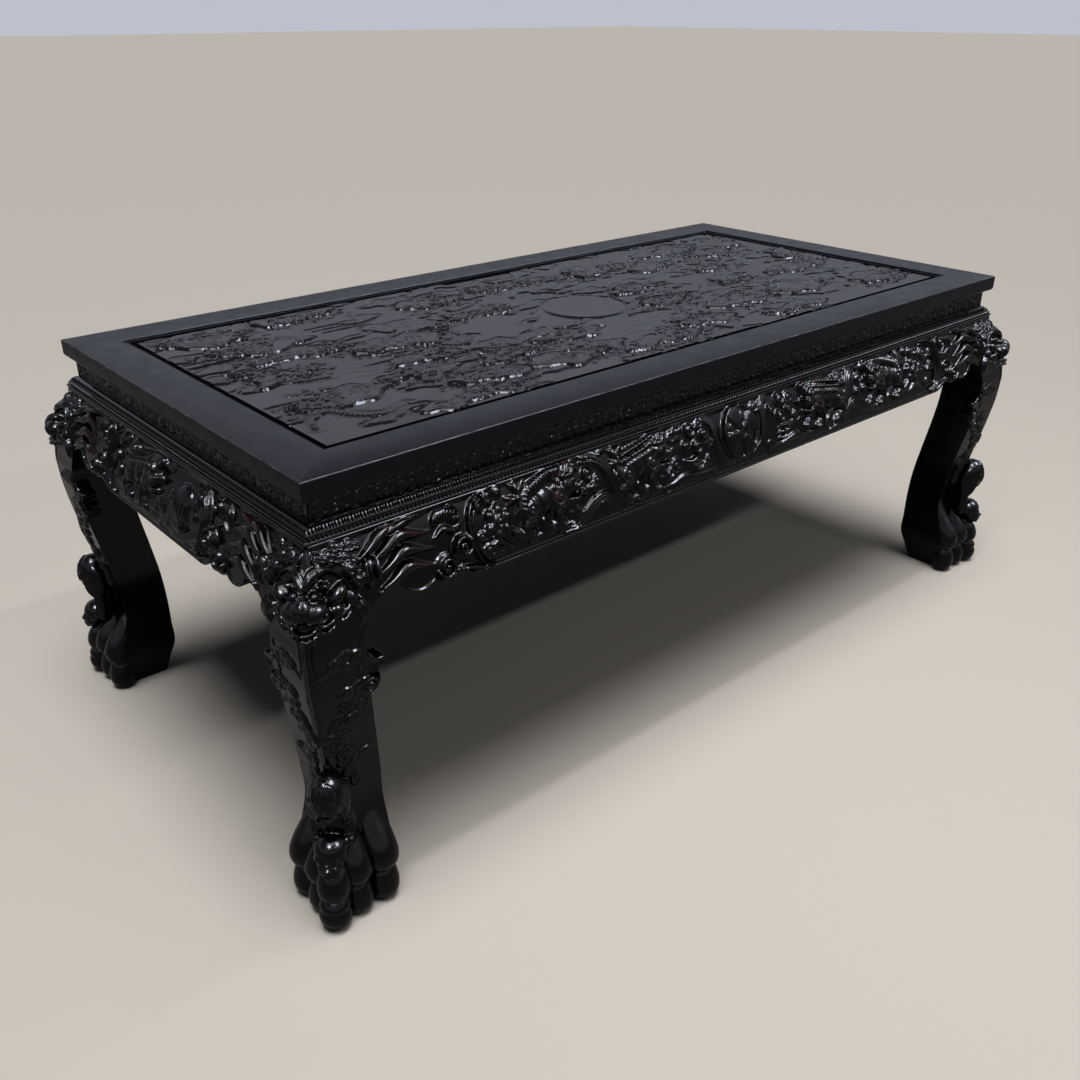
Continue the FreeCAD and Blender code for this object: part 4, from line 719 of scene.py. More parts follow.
def carve_panel(half_x, half_y):
    """The top's field: cloud banks, drifts, ribbed beasts, small curls and mist bars round a plain disc."""
    r = Relief(-half_x, half_x, -half_y, half_y, FIELD_STEP)
    rng = np.random.default_rng(SEED + 4)
    disc = (DISC_SHARE[0] * half_x, DISC_SHARE[1] * half_y)
    uu, vv = np.meshgrid(r.u, r.v)
    r.height = panel_ground(uu, vv, half_x, half_y, rng)
    # Ribbed beasts
    for points in (((-862, -300), (-842, -240), (-800, -236), (-776, -280), (-730, -310), (-672, -292)),
                   ((-800, -190), (-772, -230), (-730, -210), (-700, -180)),
                   ((-400, 52), (-420, 0), (-392, -58), (-352, -52), (-340, 0), (-362, 46)),
                   ((-812, 8), (-780, -22), (-752, -62), (-700, -74)),
                   ((150, -210), (180, -160), (230, -150), (280, -176)),
                   ((640, -60), (700, -30), (760, -60), (800, -30)),
                   ((560, 240), (620, 280), (690, 262), (740, 290))):
        path = curve(points, 3)
        r.groove(path, 44, 1.8)
        r.stroke(path, 26, 3.6, base=FIELD_RISE - 1.4, thin=(0.6, 0.3), ribs=9, cut=0.6)
    panel_curls(r, half_x, half_y, disc, rng)
    # Straight mist bars
    for x0, x1, y in ((-577, -450, 240), (-570, -462, 218), (-556, -440, 196), (-564, -475, -8), (-560, -470, -30),
                      (-616, -500, -60), (150, 262, 0), (190, 276, -28), (160, 300, -62), (450, 600, 80),
                      (420, 476, 56), (577, 666, -93), (310, 386, -100), (-880, -790, 145), (-880, -830, 170),
                      (-880, -826, -155)):
        bar = curve([(x0, y), ((x0 + x1) / 2, y), (x1, y)], 5)
        r.groove(bar + np.array([0, -5]), 7, 2.4)
        r.stroke(bar, 4.6, 1.6, base=FIELD_RISE - 0.2, thin=(0.3, 0.3))
    # The plain disc in its groove
    gap = np.hypot(uu - disc[0], vv - disc[1])
    r.height = np.where(gap < DISC_RADIUS + 6, FIELD_RISE - 2.0, r.height)
    r.height = np.where(gap < DISC_RADIUS, FIELD_RISE + 1.0, r.height)
    return r


# Meshes
def deselect():
    """Leaves every object unselected, in object mode."""
    if bpy.context.object and bpy.context.object.mode != "OBJECT":
        bpy.ops.object.mode_set(mode="OBJECT")
    bpy.ops.object.select_all(action="DESELECT")


def close_mesh(smooth):
    """Joins the seams of the active mesh, closes its ends and turns its faces outwards."""
    bpy.ops.object.mode_set(mode="EDIT")
    bpy.ops.mesh.select_all(action="SELECT")
    bpy.ops.mesh.remove_doubles(threshold=2e-6)
    bpy.ops.mesh.select_all(action="SELECT")
    bpy.ops.mesh.fill_holes(sides=0)
    bpy.ops.mesh.select_all(action="SELECT")
    bpy.ops.mesh.normals_make_consistent(inside=False)
    bpy.ops.object.mode_set(mode="OBJECT")
    bpy.ops.object.shade_smooth_by_angle(angle=math.radians(smooth))


def sheet_piece(name, points, wear=None, smooth=60):
    """A grid primitive shaped to rows of points in millimetres and closed into a solid."""
    rows, columns = points.shape[:2]
    deselect()
    bpy.ops.mesh.primitive_grid_add(x_subdivisions=columns - 1, y_subdivisions=rows - 1, size=1)
    piece = bpy.context.object
    piece.name = piece.data.name = name
    if len(piece.data.vertices) != rows * columns:
        raise RuntimeError(f"{name}: the grid has {len(piece.data.vertices)} points, not {rows * columns}")
    piece.data.vertices.foreach_set("co", (points * MM).astype(np.float32).ravel())
    layer = piece.data.attributes.new("wear", "FLOAT", "POINT")
    if wear is not None:
        layer.data.foreach_set("value", wear.astype(np.float32).ravel())
    for extra in list(piece.data.uv_layers):
        piece.data.uv_layers.remove(extra)
    piece.data.update()
    close_mesh(smooth)
    return piece


def join(name, pieces):
    """Several meshes as one piece."""
    deselect()
    for piece in pieces:
        piece.select_set(True)
    bpy.context.view_layer.objects.active = pieces[0]
    bpy.ops.object.join()
    joined = bpy.context.object
    joined.name = joined.data.name = name
    return joined


def settle(piece):
    """Puts a piece's place, turn and size into its mesh."""
    deselect()
    piece.select_set(True)
    bpy.context.view_layer.objects.active = piece
    bpy.ops.object.transform_apply(location=True, rotation=True, scale=True)


def copy_turned(piece, name, turn, place=(0, 0)):
    """A copy with its own mesh, turned by quarter turns about the upright axis and set at a place in millimetres."""
    mesh = piece.data.copy()
    shift = Matrix.Translation((place[0] * MM, place[1] * MM, 0))
    mesh.transform(shift @ Matrix.Rotation(turn * math.pi / 2, 4, "Z"))
    other = bpy.data.objects.new(name, mesh)
    mesh.name = name
    bpy.context.scene.collection.objects.link(other)
    return other


def ball(x, y, z, rx, ry, rz, turn=(0, 0, 0), segments=24, rings=14):
    """An ellipsoid in millimetres."""
    deselect()
    bpy.ops.mesh.primitive_uv_sphere_add(segments=segments, ring_count=rings, radius=MM, rotation=turn,
                                         location=(x * MM, y * MM, z * MM), scale=(rx, ry, rz))
    made = bpy.context.object
    settle(made)
    return made


def melt(piece, voxel):
    """Runs overlapping lumps together into one smooth skin."""
    for kind, values in (("REMESH", {"mode": "VOXEL", "voxel_size": voxel}),
                         ("SMOOTH", {"factor": 0.5, "iterations": 1})):
        modifier = piece.modifiers.new(kind.lower(), kind)
        for key, value in values.items():
            setattr(modifier, key, value)
        bpy.ops.object.modifier_apply(modifier=modifier.name)


def side_points(side, along, out, z):
    """World places on a side: distance to the right of its middle, distance outside the top's edge, level."""
    (rx, ry), (ox, oy) = SIDES[side]
    reach = HALF_WIDTH if side in ("front", "back") else HALF_LENGTH
    return np.stack([rx * along + ox * (reach + out), ry * along + oy * (reach + out), z + 0 * along], -1)


def half_of(side):
    """Half the length of a side of the top."""
    return HALF_LENGTH if side in ("front", "back") else HALF_WIDTH


def sweep(side, name, section, worn=()):
    """A straight mitred moulding: a closed section of (setback, level) points swept along a side."""
    loop = np.array(list(section) + [section[0]], float)
    half = half_of(side)
    ends = np.stack([-(half - loop[:, 0]), half - loop[:, 0]], 1)
    points = side_points(side, ends, -loop[:, :1] + 0 * ends, loop[:, 1:] + 0 * ends)
    # Rows listed in worn get the lacquer's second colour; on the frame rails this is a painted highlight along the
    # outer top edge
    wear = np.zeros(points.shape[:2])
    for k in worn:
        wear[k] = 1
    return sheet_piece(name, points, wear, smooth=35)


def finish_piece(piece, node, material):
    """Hands a finished piece to the frame in place of a node."""
    piece.data.materials.clear()
    piece.data.materials.append(material)
    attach(piece, "root")
    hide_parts(node)


def finish_pair(piece, stem, side, material):
    """Hands over the piece of one side, and its copy on the opposite side."""
    other = OPPOSITE[side]
    for name, made in ((side, piece), (other, copy_turned(piece, f"{stem}_{other}_look", 2))):
        finish_piece(made, f"{stem}_{name}", material)


def finish_corners(master, stem, material):
    """Hands over copies of a corner piece, modelled at the origin, at the four corners."""
    for turn, (corner, place) in enumerate(CORNERS.items()):
        made = copy_turned(master, f"{stem}_{corner}_look", turn, place)
        finish_piece(made, f"{stem}_{corner}", material)
    bpy.data.objects.remove(master)


# Materials
def linear(text):
    """Linear colour from an sRGB hex code."""
    parts = [int(text[k:k + 2], 16) / 255 for k in (1, 3, 5)]
    return [c / 12.92 if c <= 0.04045 else ((c + 0.055) / 1.055) ** 2.4 for c in parts] + [1.0]


def add_node(tree, kind, inputs=None, **settings):
    """A shader node with its settings, its constants and its links."""
    node = tree.nodes.new(kind)
    for key, value in settings.items():
        setattr(node, key, value)
    for key, value in (inputs or {}).items():
        if isinstance(value, bpy.types.NodeSocket):
            tree.links.new(value, node.inputs[key])
        else:
            node.inputs[key].default_value = value
    return node


def new_material(name):
    """An empty material with its shader and the object's own coordinates."""
    material = bpy.data.materials.get(name)
    if material:
        return material, None, None, None
    material = bpy.data.materials.new(name)
    material.use_nodes = True
    tree = material.node_tree
    tree.nodes.clear()
    shader = add_node(tree, "ShaderNodeBsdfPrincipled")
    add_node(tree, "ShaderNodeOutputMaterial", {"Surface": shader.outputs[0]})
    place = add_node(tree, "ShaderNodeTexCoord").outputs["Object"]
    return material, tree, shader, place


def lacquer(name, colour, worn, rough, spread, wear_size, ior):
    """Black lacquer over ebonised hardwood: deep, with the wood showing where it is rubbed, and a pale painted
    highlight where the frame's outer top edge is marked.
    """
    material, tree, shader, place = new_material(name)
    if tree is None:
        return material
    # Wood shows in patches on what is rubbed; on the frame the same patchy mark is a painted highlight along the outer
    # top edge
    patches = add_node(tree, "ShaderNodeTexNoise", {"Vector": place, "Scale": 1 / MM / wear_size, "Detail": 3.0})
    patchy = add_node(tree, "ShaderNodeMapRange", {0: patches.outputs[0], 1: 0.38, 2: 0.62})
    rubbed = add_node(tree, "ShaderNodeAttribute", attribute_name="wear")
    share = add_node(tree, "ShaderNodeMath", {0: rubbed.outputs["Fac"], 1: patchy.outputs[0]}, operation="MULTIPLY")
    # The second colour is red-brown wood on the carving and a pale painted highlight on the frame's outer top edge
    tint = add_node(tree, "ShaderNodeMix", {0: share.outputs[0], 6: colour, 7: worn}, data_type="RGBA")
    tree.links.new(tint.outputs[2], shader.inputs["Base Color"])
    # Polish smeared by hands, and the faint unevenness of a brushed coat
    smears = add_node(tree, "ShaderNodeTexNoise", {"Vector": place, "Scale": 1 / MM / SMEAR_SIZE, "Detail": 3.0})
    polish = add_node(tree, "ShaderNodeMapRange",
                      {0: smears.outputs[0], 1: 0.3, 2: 0.7, 3: rough - spread, 4: rough + spread})
    tree.links.new(polish.outputs[0], shader.inputs["Roughness"])
    coat = add_node(tree, "ShaderNodeTexNoise", {"Vector": place, "Scale": 1 / MM / BRUSH_SIZE, "Detail": 2.0})
    bump = add_node(tree, "ShaderNodeBump", {"Strength": 0.12, "Distance": BRUSH_DEPTH, "Height": coat.outputs[0]})
    tree.links.new(bump.outputs[0], shader.inputs["Normal"])
    shader.inputs["IOR"].default_value = ior
    return material


def gloss_lacquer(settings):
    """Glossy black lacquer of the carving: sharp glints on every ridge, red-brown wood on rubbed tips."""
    return lacquer("ebonised_gloss_lacquer", settings.lacquer_colour, settings.wear_colour, 0.11, 0.04, 9.0, 1.29)


def polished_lacquer(settings):
    """Polished black lacquer of the carved field: glints on the curls, a soft sheen on the plain patches."""
    return lacquer("ebonised_polished_lacquer", settings.frame_colour, settings.wear_colour, 0.14, 0.04, 26.0, 1.26)


def satin_lacquer(settings):
    """Satin black lacquer of the frame: a soft even sheen, with a pale painted highlight along the outer top edges."""
    return lacquer("ebonised_satin_lacquer", settings.frame_colour, settings.edge_highlight_colour, 0.34, 0.06, 26.0, 1.22)


def plain_hardwood(settings):
    """Stained hardwood of the hidden battens and pins: dull, with grain along the length."""
    material, tree, shader, place = new_material("stained_hardwood")
    if tree is None:
        return material
    stretched = add_node(tree, "ShaderNodeMapping", {"Vector": place, "Scale": (1.0, 0.06, 1.0)}).outputs[0]
    grain = add_node(tree, "ShaderNodeTexNoise", {"Vector": stretched, "Scale": 1 / MM / GRAIN_WIDTH, "Detail": 3.0})
    tint = add_node(tree, "ShaderNodeMix", {0: grain.outputs[0], 6: settings.wood_colour, 7: settings.wood_dark},
                    data_type="RGBA")
    tree.links.new(tint.outputs[2], shader.inputs["Base Color"])
    shader.inputs["Roughness"].default_value = 0.6
    return material


def colour_prop(name, description, default):
    """A colour that a user may change."""
    return bpy.props.FloatVectorProperty(name=name, description=description, subtype="COLOR", size=4, min=0, max=1,
                                         default=linear(default))


class PaintingTableSettings(bpy.types.PropertyGroup):
    """Sizes and colours of the painting table's looks."""

    carving_depth: bpy.props.FloatProperty(
        name="Carving Depth", description="Share of the full depth of the carving", default=1.0, subtype="FACTOR")
    ground_depth: bpy.props.FloatProperty(
        name="Ground Depth", description="How far the carving's ground lies below the plain face", default=0.004,
        unit="LENGTH")
    carving_step: bpy.props.FloatProperty(
        name="Carving Step", description="Distance between points of a carved face", default=0.00165, unit="LENGTH")
    panel_step: bpy.props.FloatProperty(
        name="Panel Step", description="Distance between points of the carved panel", default=0.0027, unit="LENGTH")
    lacquer_colour: colour_prop("Lacquer", "Glossy black lacquer of the carving", "#070607")
    wear_colour: colour_prop("Worn Wood", "Wood that shows on rubbed tips", "#3c1214")
    frame_colour: colour_prop("Frame Lacquer", "Satin black lacquer of the frame", "#0e0f14")
    # Pale painted highlight along the frame's outer top edge
    edge_highlight_colour: colour_prop("Edge Highlight", "Painted highlight along the frame's outer top edge", "#5f5a57")
    wood_colour: colour_prop("Hidden Wood", "Stained hardwood under the top", "#33231b")
    wood_dark: colour_prop("Hidden Wood Grain", "Dark grain of the hardwood under the top", "#1d130f")
    floor_colour: colour_prop("Floor", "Plain pale floor", "#ddd6cc")
    mirrored_floor: colour_prop("Mirrored Floor", "Floor as the lacquer mirrors it", "#a09c98")
    sky_colour: colour_prop("Surround", "Pale surround of the stage", "#c6cad6")


class TableOperator:
    """What the table's operators share."""

    bl_options = {"REGISTER", "UNDO"}

    def settings(self, context):
        """The sizes and colours kept in the scene."""
        return context.scene.painting_table


class PAINTING_OT_frame(TableOperator, bpy.types.Operator):
    """Two long rails and two ends with rebated inner edge and coved fascia"""

    bl_idname = "painting.frame"
    bl_label = "Top Frame"

    def execute(self, context):
        material = satin_lacquer(self.settings(context))
        edge, rim, rebate = 1.6, RAIL_WIDTH - 9, TABLE_TOP - 4
        wide, high = 14, 10
        cove = [(wide - wide * math.cos(a), RAIL_BOTTOM + high - high * math.sin(a))
                for a in np.linspace(0.12, math.pi / 2, 7)[::-1]]
        section = [(0.4, TABLE_TOP - edge), (edge, TABLE_TOP - 0.3), (edge + 1, TABLE_TOP), (rim - edge, TABLE_TOP),
                   (rim, TABLE_TOP - edge), (rim, rebate), (RAIL_WIDTH, rebate), (RAIL_WIDTH, RAIL_BOTTOM), *cove,
                   (0, RAIL_BOTTOM + high), (0, RAIL_BOTTOM + high + 1.5), (0, TABLE_TOP - edge - 1)]
        # A painted highlight shows along the second point, on the outer top edge
        for side, node in (("front", "frame_rail_front"), ("back", "frame_rail_back"), ("left", "frame_end_left"),
                           ("right", "frame_end_right")):
            finish_piece(sweep(side, f"{node}_look", section, (1,)), node, material)
        return {"FINISHED"}


class PAINTING_OT_panel(TableOperator, bpy.types.Operator):
    """Three boards of the top's field, carved in low relief"""

    bl_idname = "painting.panel"
    bl_label = "Carved Panel"

    def execute(self, context):
        settings = self.settings(context)
        material = polished_lacquer(settings)
        half_x, half_y = HALF_LENGTH - RAIL_WIDTH, HALF_WIDTH - RAIL_WIDTH
        # A sunk border with a steep wall runs round the field
        border, wall, ground = 13.0, 0.4, TABLE_TOP - 5.0 - FIELD_RISE
        relief = carve_panel(half_x, half_y)
        seams = (-half_y / 3, half_y / 3)
        rims = np.array([border, border + wall])
        for k, place in enumerate(("front", "middle", "back")):
            node = f"panel_board_{place}"
            low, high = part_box(node)
            y0 = seams[k - 1] if k else low.y / MM
            y1 = seams[k] if k < 2 else high.y / MM
            x = np.linspace(low.x / MM, high.x / MM, int((high.x - low.x) / settings.panel_step))
            y = np.linspace(y0, y1, int((y1 - y0) * MM / settings.panel_step))
            x = np.sort(np.concatenate([x, half_x - rims, rims - half_x]))
            y = np.sort(np.concatenate([y, (rims - half_y, [], half_y - rims)[k]]))
            xx, yy = np.meshgrid(x, y)
            inset = np.minimum(half_x - np.abs(xx), half_y - np.abs(yy))
            fade = np.clip((inset - border) / wall, 0, 1)
            z = ground + relief.read(relief.height, xx, yy) * fade * settings.carving_depth
            top = np.stack([xx, yy, z], -1)
            under = top[[-1, 0]].copy()
            under[:, :, 2] = PANEL_BOTTOM
            points = np.concatenate([under[1:], top, under[:1], under[1:]])
            finish_piece(sheet_piece(f"{node}_look", points), node, material)
        return {"FINISHED"}


class PAINTING_OT_waists(TableOperator, bpy.types.Operator):
    """Four waist boards filled with small scrolls"""

    bl_idname = "painting.waists"
    bl_label = "Waists"

    def execute(self, context):
        material = gloss_lacquer(self.settings(context))
        end_setback, face_setback, back_setback, back_shorter = 16, 18, 36, 20
        for side in OPPOSITE:
            half = half_of(side) - end_setback
            relief = carve_waist(half)
            ss, zz = np.meshgrid(np.linspace(-half, half, int(half)), np.linspace(WAIST_BOTTOM, RAIL_BOTTOM, 23))
            edge = np.clip((np.minimum(zz - WAIST_BOTTOM, RAIL_BOTTOM - zz)) / 2, 0, 1)
            face = side_points(side, ss, relief.read(relief.height, ss, zz) * edge - face_setback, zz)
            back = (np.minimum(np.abs(ss[0]), half - back_shorter) * np.sign(ss[0]))[None]
            top, low = (side_points(side, back, np.full_like(back, -back_setback), np.full_like(back, z))
                        for z in (RAIL_BOTTOM, WAIST_BOTTOM))
            piece = sheet_piece(f"waist_{side}_look", np.concatenate([face, top, low, face[:1]]))
            finish_pair(piece, "waist", side, material)
        return {"FINISHED"}


class PAINTING_OT_mouldings(TableOperator, bpy.types.Operator):
    """Four shoulder mouldings with lotus petals and leaves over a row of beads"""

    bl_idname = "painting.mouldings"
    bl_label = "Shoulder Mouldings"

    def row(self, side, shape, start, pitch, shifts=(0,)):
        """A row of like drops along one side; the shape is half length, half depth, half height, out and level."""
        half = half_of(side)
        long, deep, tall, out, z = shape
        drops = []
        for shift in shifts:
            s = start - half + shift
            if side == "front":
                drops.append(ball(s, -HALF_WIDTH - out, z, long, deep, tall, segments=8, rings=6))
            else:
                drops.append(ball(-HALF_LENGTH - out, s, z, deep, long, tall, segments=8, rings=6))
        drop = join("drop", drops)
        modifier = drop.modifiers.new("row", "ARRAY")
        modifier.use_relative_offset = False
        modifier.use_constant_offset = True
        modifier.constant_offset_displace = (pitch * MM, 0, 0) if side == "front" else (0, pitch * MM, 0)
        modifier.count = int((2 * half - 2 * start) / pitch) + 1
        bpy.ops.object.modifier_apply(modifier=modifier.name)
        return drop

    def execute(self, context):
        material = gloss_lacquer(self.settings(context))
        top, low, back = WAIST_BOTTOM, SHOULDER, 36
        # A half round at the foot, a flat for the beads and a cove for the petals
        section = [(back, low), (-2.4, low), (-4.2, low + 0.9), (-5.2, low + 2.6), (-5.2, low + 4.4), (-4.0, low + 6.0),
                   (-1.8, low + 6.6), (-1.6, low + 12.4), (0.6, low + 13), (2.4, low + 16), (5.6, low + 20),
                   (10, low + 22.8), (14, top), (back, top)]
        petal_pitch, bead_pitch = 23.0, 7.7
        for side, deep in (("front", 4.2), ("left", 2.6)):
            body = sweep(side, f"moulding_{side}_look", section)
            petals = self.row(side, (2.7, deep, 6.2, -5.0, low + 17.2), 15, petal_pitch, (-6.2, 0, 6.2))
            leaves = self.row(side, (3.4, deep - 0.6, 5.6, -5.2, low + 16.8), 15 + petal_pitch / 2, petal_pitch)
            beads = self.row(side, (2.9, 2.8, 2.6, 1.4, low + 9.6), 6, bead_pitch)
            piece = join(f"moulding_{side}_look", [body, petals, leaves, beads])
            finish_pair(piece, "moulding", side, material)
        return {"FINISHED"}


class PAINTING_OT_aprons(TableOperator, bpy.types.Operator):
    """Four swelling aprons: flame locks and scrolls at the ends, lions between"""

    bl_idname = "painting.aprons"
    bl_label = "Aprons"

    def bead(self, up, setback, height, middle, half, start, fade):
        """A raised line along the lower edge that begins at a setback from the corner."""
        crest = np.sqrt(np.clip(1 - ((up - middle) / half) ** 2, 0, 1))
        return height * crest * np.clip((setback - start) / fade, 0, 1)

    def execute(self, context):
        settings = self.settings(context)
        material = gloss_lacquer(settings)
        corner = carve_corner()
        sunk = settings.ground_depth / MM
        rows, board, back_level, arch_end = 70, 32, 640, 98
        for side, middle in (("front", carve_long_apron()), ("left", carve_short_apron())):
            half = half_of(side)
            along = np.linspace(-half, half, int(half / (settings.carving_step / MM) * 2) + 1)
            d = half - np.abs(along)
            edge = apron_edge(d)[None]
            zz = edge + (SHOULDER - edge) * np.linspace(0, 1, rows)[:, None]
            ss, dd = np.broadcast_to(along, zz.shape), np.broadcast_to(d, zz.shape)
            height = np.maximum(corner.read(corner.height, dd, zz), middle.read(middle.height, ss, zz))
            wear = np.maximum(corner.read(corner.wear, dd, zz), middle.read(middle.wear, ss, zz))
            beads = np.maximum(self.bead(zz - edge, dd, 4.0, 3.0, 3.2, 92, 6),
                               self.bead(zz - edge, dd, 2.2, 9.5, 2.4, 262, 10))
            height = np.maximum(height, beads)
            height = (height * settings.carving_depth - sunk) * np.clip((SHOULDER - 2 - zz) / 5, 0, 1)
            # Heights stand square to the swell
            rise = (zz - SWELL_LEVEL) / SWELL_RADIUS
            out = swell(zz) + height * np.sqrt(1 - rise**2)
            face = side_points(side, ss, out, np.minimum(zz + height * rise, SHOULDER))
            # Flat back that follows the mitres, thinner at the lower edge
            line = along[None]
            depth = np.clip(d, -30, board)[None]
            thin = np.where(d > arch_end, -18.0, depth[0])[None]
            back = [side_points(side, line, -depth, np.full_like(line, SHOULDER)),
                    side_points(side, line, -depth, np.maximum(back_level, edge + 2)),
                    side_points(side, line, -thin, edge + 0.5)]
            points = np.concatenate([face, *back, face[:1]])
            worn = np.concatenate([wear, np.zeros((len(points) - rows, len(along)))])
            piece = sheet_piece(f"apron_{side}_look", points, worn, smooth=70)
            finish_pair(piece, "apron", side, material)
        return {"FINISHED"}


class PAINTING_OT_legs(TableOperator, bpy.types.Operator):
    """Four legs: beast mask on the shoulder, clouds down the faces, scroll at the knee, clawed paw"""

    bl_idname = "painting.legs"
    bl_label = "Legs"

    # Joints of the toes: level, push outwards, half width and half depth
    PEAR = ((58, -8, 5, 5), (62, -5, 18, 17), (70, -2, 27, 26), (82, 0, 32, 31), (97, 0, 33, 32), (115, -6, 32, 31),
            (140, -19, 30, 26), (160, -29, 27, 20), (178, -35, 22, 13), (192, -40, 8, 5))
    END = ((0, -2, 17, 17), (5, 0, 22, 22), (16, 2, 27, 27), (32, 3, 29, 28), (48, 1, 28, 27), (64, -3, 24, 24),
           (74, -6, 17, 17))
    KNUCKLE = ((56, -5, 5, 5), (60, -3, 17, 17), (68, 0, 26, 26), (80, 1, 29, 29), (94, -1, 29, 29), (112, -6, 25, 25),
               (132, -15, 12, 12))
    TIP = ((0, -1, 17, 17), (5, 2, 22, 22), (15, 5, 27, 27), (28, 6, 29, 29), (37, 5.5, 28, 28), (42, 4, 26.4, 26.4),
           (47, 5, 27.4, 27.4), (56, 3, 26, 26), (66, -1, 20, 20), (72, -4, 14, 14))
    CORNER_TOE = (-37, -37)
    SIDE_TOES = ((8, -31), (61, -31), (-31, 8), (-31, 61))
    # Edge of the knee on one face, as setback and level, and the scroll wound on it
    KNEE_EDGE = ((48, 548), (57, 536), (61, 520), (67, 509), (77, 503), (91, 501), (88, 491), (79, 484), (77, 478),
                 (82, 468), (83, 457), (77, 444), (62, 436), (46, 444), (40, 480), (42, 520), (48, 548))
    KNEE_CENTRE = (60.0, 486.0)
    SCROLL_HUB, SCROLL_RADIUS, SCROLL_DEPTH = (63.0, 457.0), 17.0, 30

    def shaft(self, settings):
        """The carved leg without its paw, and the square post inside its shoulder."""
        corner = carve_corner()
        z = np.concatenate([np.linspace(0, CARVING_FOOT, 18, endpoint=False),
                            np.linspace(CARVING_FOOT, MITRE_SUM - 1, 330)])
        out, inner = leg_out(z), leg_inner(z)
        a = np.linspace(0, 1, 84)[None] * (out + inner)[:, None]
        zz = np.broadcast_to(z[:, None], a.shape)
        dd = a - out[:, None]
        # The ground is sunk in full on the shoulder only
        sunk = settings.ground_depth / MM * np.clip((z - 535) / 30, 0.3, 1)[:, None]
        height = corner.read(corner.height, dd, zz) * settings.carving_depth - sunk
        wear = corner.read(corner.wear, dd, zz)
        # The arris is rounded off, and heights lean towards the diagonal beside it
        round_off = 9.0
        pull = round_off * 0.41 * np.exp(-((a / (0.8 * round_off)) ** 2)) / math.sqrt(2)
        lean = np.exp(-a / 11.0)
        rise = np.where(zz > KNEE, (zz - SWELL_LEVEL) / SWELL_RADIUS, 0)
        flat = np.sqrt(1 - rise**2) * height / np.sqrt(1 + lean**2)
        x = dd + pull - lean * flat
        y = -out[:, None] + pull - flat
        level_z = np.clip(zz + rise * height, 0, SHOULDER)
        front, left = np.stack([x, y, level_z], -1), np.stack([y, x, level_z], -1)
        # Plain inner faces
        steps = np.linspace(0, 1, 9)[1:-1]
        shape = (len(z), len(steps))
        inner_a = np.stack([np.broadcast_to(inner[:, None], shape), -out[:, None] + (out + inner)[:, None] * steps,
                            np.broadcast_to(z[:, None], shape)], -1)
        inner_b = inner_a[:, ::-1][:, :, [1, 0, 2]]
        arris = np.stack([inner, inner, z], -1)[:, None]
        loop = np.concatenate([left[:, ::-1], front[:, 1:], inner_a, arris, inner_b, left[:, -1:]], 1)
        worn = np.concatenate([wear[:, ::-1], wear[:, 1:], np.zeros((len(z), 2 * len(steps) + 2))], 1)
        shaft = sheet_piece("leg_shaft", loop, worn, smooth=75)
        post_place, post_size = (66, 66, 686), (64, 64, 172)
        deselect()
        bpy.ops.mesh.primitive_cube_add(size=1, location=[MM * v for v in post_place],
                                        scale=[MM * v for v in post_size])
        post = bpy.context.object
        settle(post)
        return [shaft, post]

    def scroll(self, side):
        """The knee's edge on one face: a pointed spur, a hollow and a wound scroll."""
        outline = curve(self.KNEE_EDGE, 2.5)[:-1]
        face = leg_out(outline[:, 1])
        rows = []
        for shrink, rise in ((0, -self.SCROLL_DEPTH), (0, -3), (0.04, 0.2), (0.12, 1.2), (0.22, 0.4), (0.32, -1.0)):
            ring = outline + (np.array(self.KNEE_CENTRE) - outline) * shrink
            rows.append(np.stack([ring[:, 0], -(face + rise), ring[:, 1]], -1))
        loop = np.array(rows)
        plate = sheet_piece(f"knee_{side}", self.face_order(np.concatenate([loop, loop[:, :1]], 1), side))
        radius, (hub, hub_level) = self.SCROLL_RADIUS, self.SCROLL_HUB
        rings = np.concatenate([np.linspace(0.5, radius, 24), [radius, radius]])
        rr, aa = np.meshgrid(rings, np.linspace(0, 2 * math.pi, 49), indexing="ij")
        wound = (rr / radius * 2.1 + aa / (2 * math.pi)) % 1.0
        rise = 4.0 - 3.4 * np.exp(-((np.minimum(wound, 1 - wound) / 0.16) ** 2)) + 2 * np.exp(-((rr / 4) ** 2))
        rise[-2:] = [[0], [-self.SCROLL_DEPTH]]
        level_z = hub_level + rr * np.sin(aa)
        points = np.stack([hub + rr * np.cos(aa), -(leg_out(level_z) + rise), level_z], -1)
        return [plate, sheet_piece(f"scroll_{side}", self.face_order(points, side))]

    def face_order(self, points, side):
        """Points of the front face, or the same points on the left one."""
        return points if side == "front" else points[..., [1, 0, 2]]

    def toe(self, x, y, profile):
        """One joint of a toe, rounded along its profile."""
        ux, uy = (0.707, 0.707) if x == y else ((0, 1) if x > y else (1, 0))
        z = np.linspace(profile[0][0], profile[-1][0], 28)
        out, wide, deep = (hermite(z, profile, column)[:, None] for column in (1, 2, 3))
        angle = np.linspace(0, 2 * math.pi, 29)[None]
        rx, ry = (wide, deep) if x >= y else (deep, wide)
        points = np.stack([x - out * ux + rx * np.cos(angle), y - out * uy + ry * np.sin(angle),
                           z[:, None] + 0 * angle], -1)
        return sheet_piece("toe", points, smooth=80)

    def paw(self):
        """Five toes: on the corner a knuckle and a tip, at the sides a long pear over a shorter end."""
        toes = [self.toe(*self.CORNER_TOE, profile) for profile in (self.KNUCKLE, self.TIP)]
        for place in self.SIDE_TOES:
            toes += [self.toe(*place, profile) for profile in (self.PEAR, self.END)]
        return toes

    def execute(self, context):
        settings = self.settings(context)
        master = join("leg_master", self.shaft(settings) + self.scroll("front") + self.scroll("left") + self.paw())
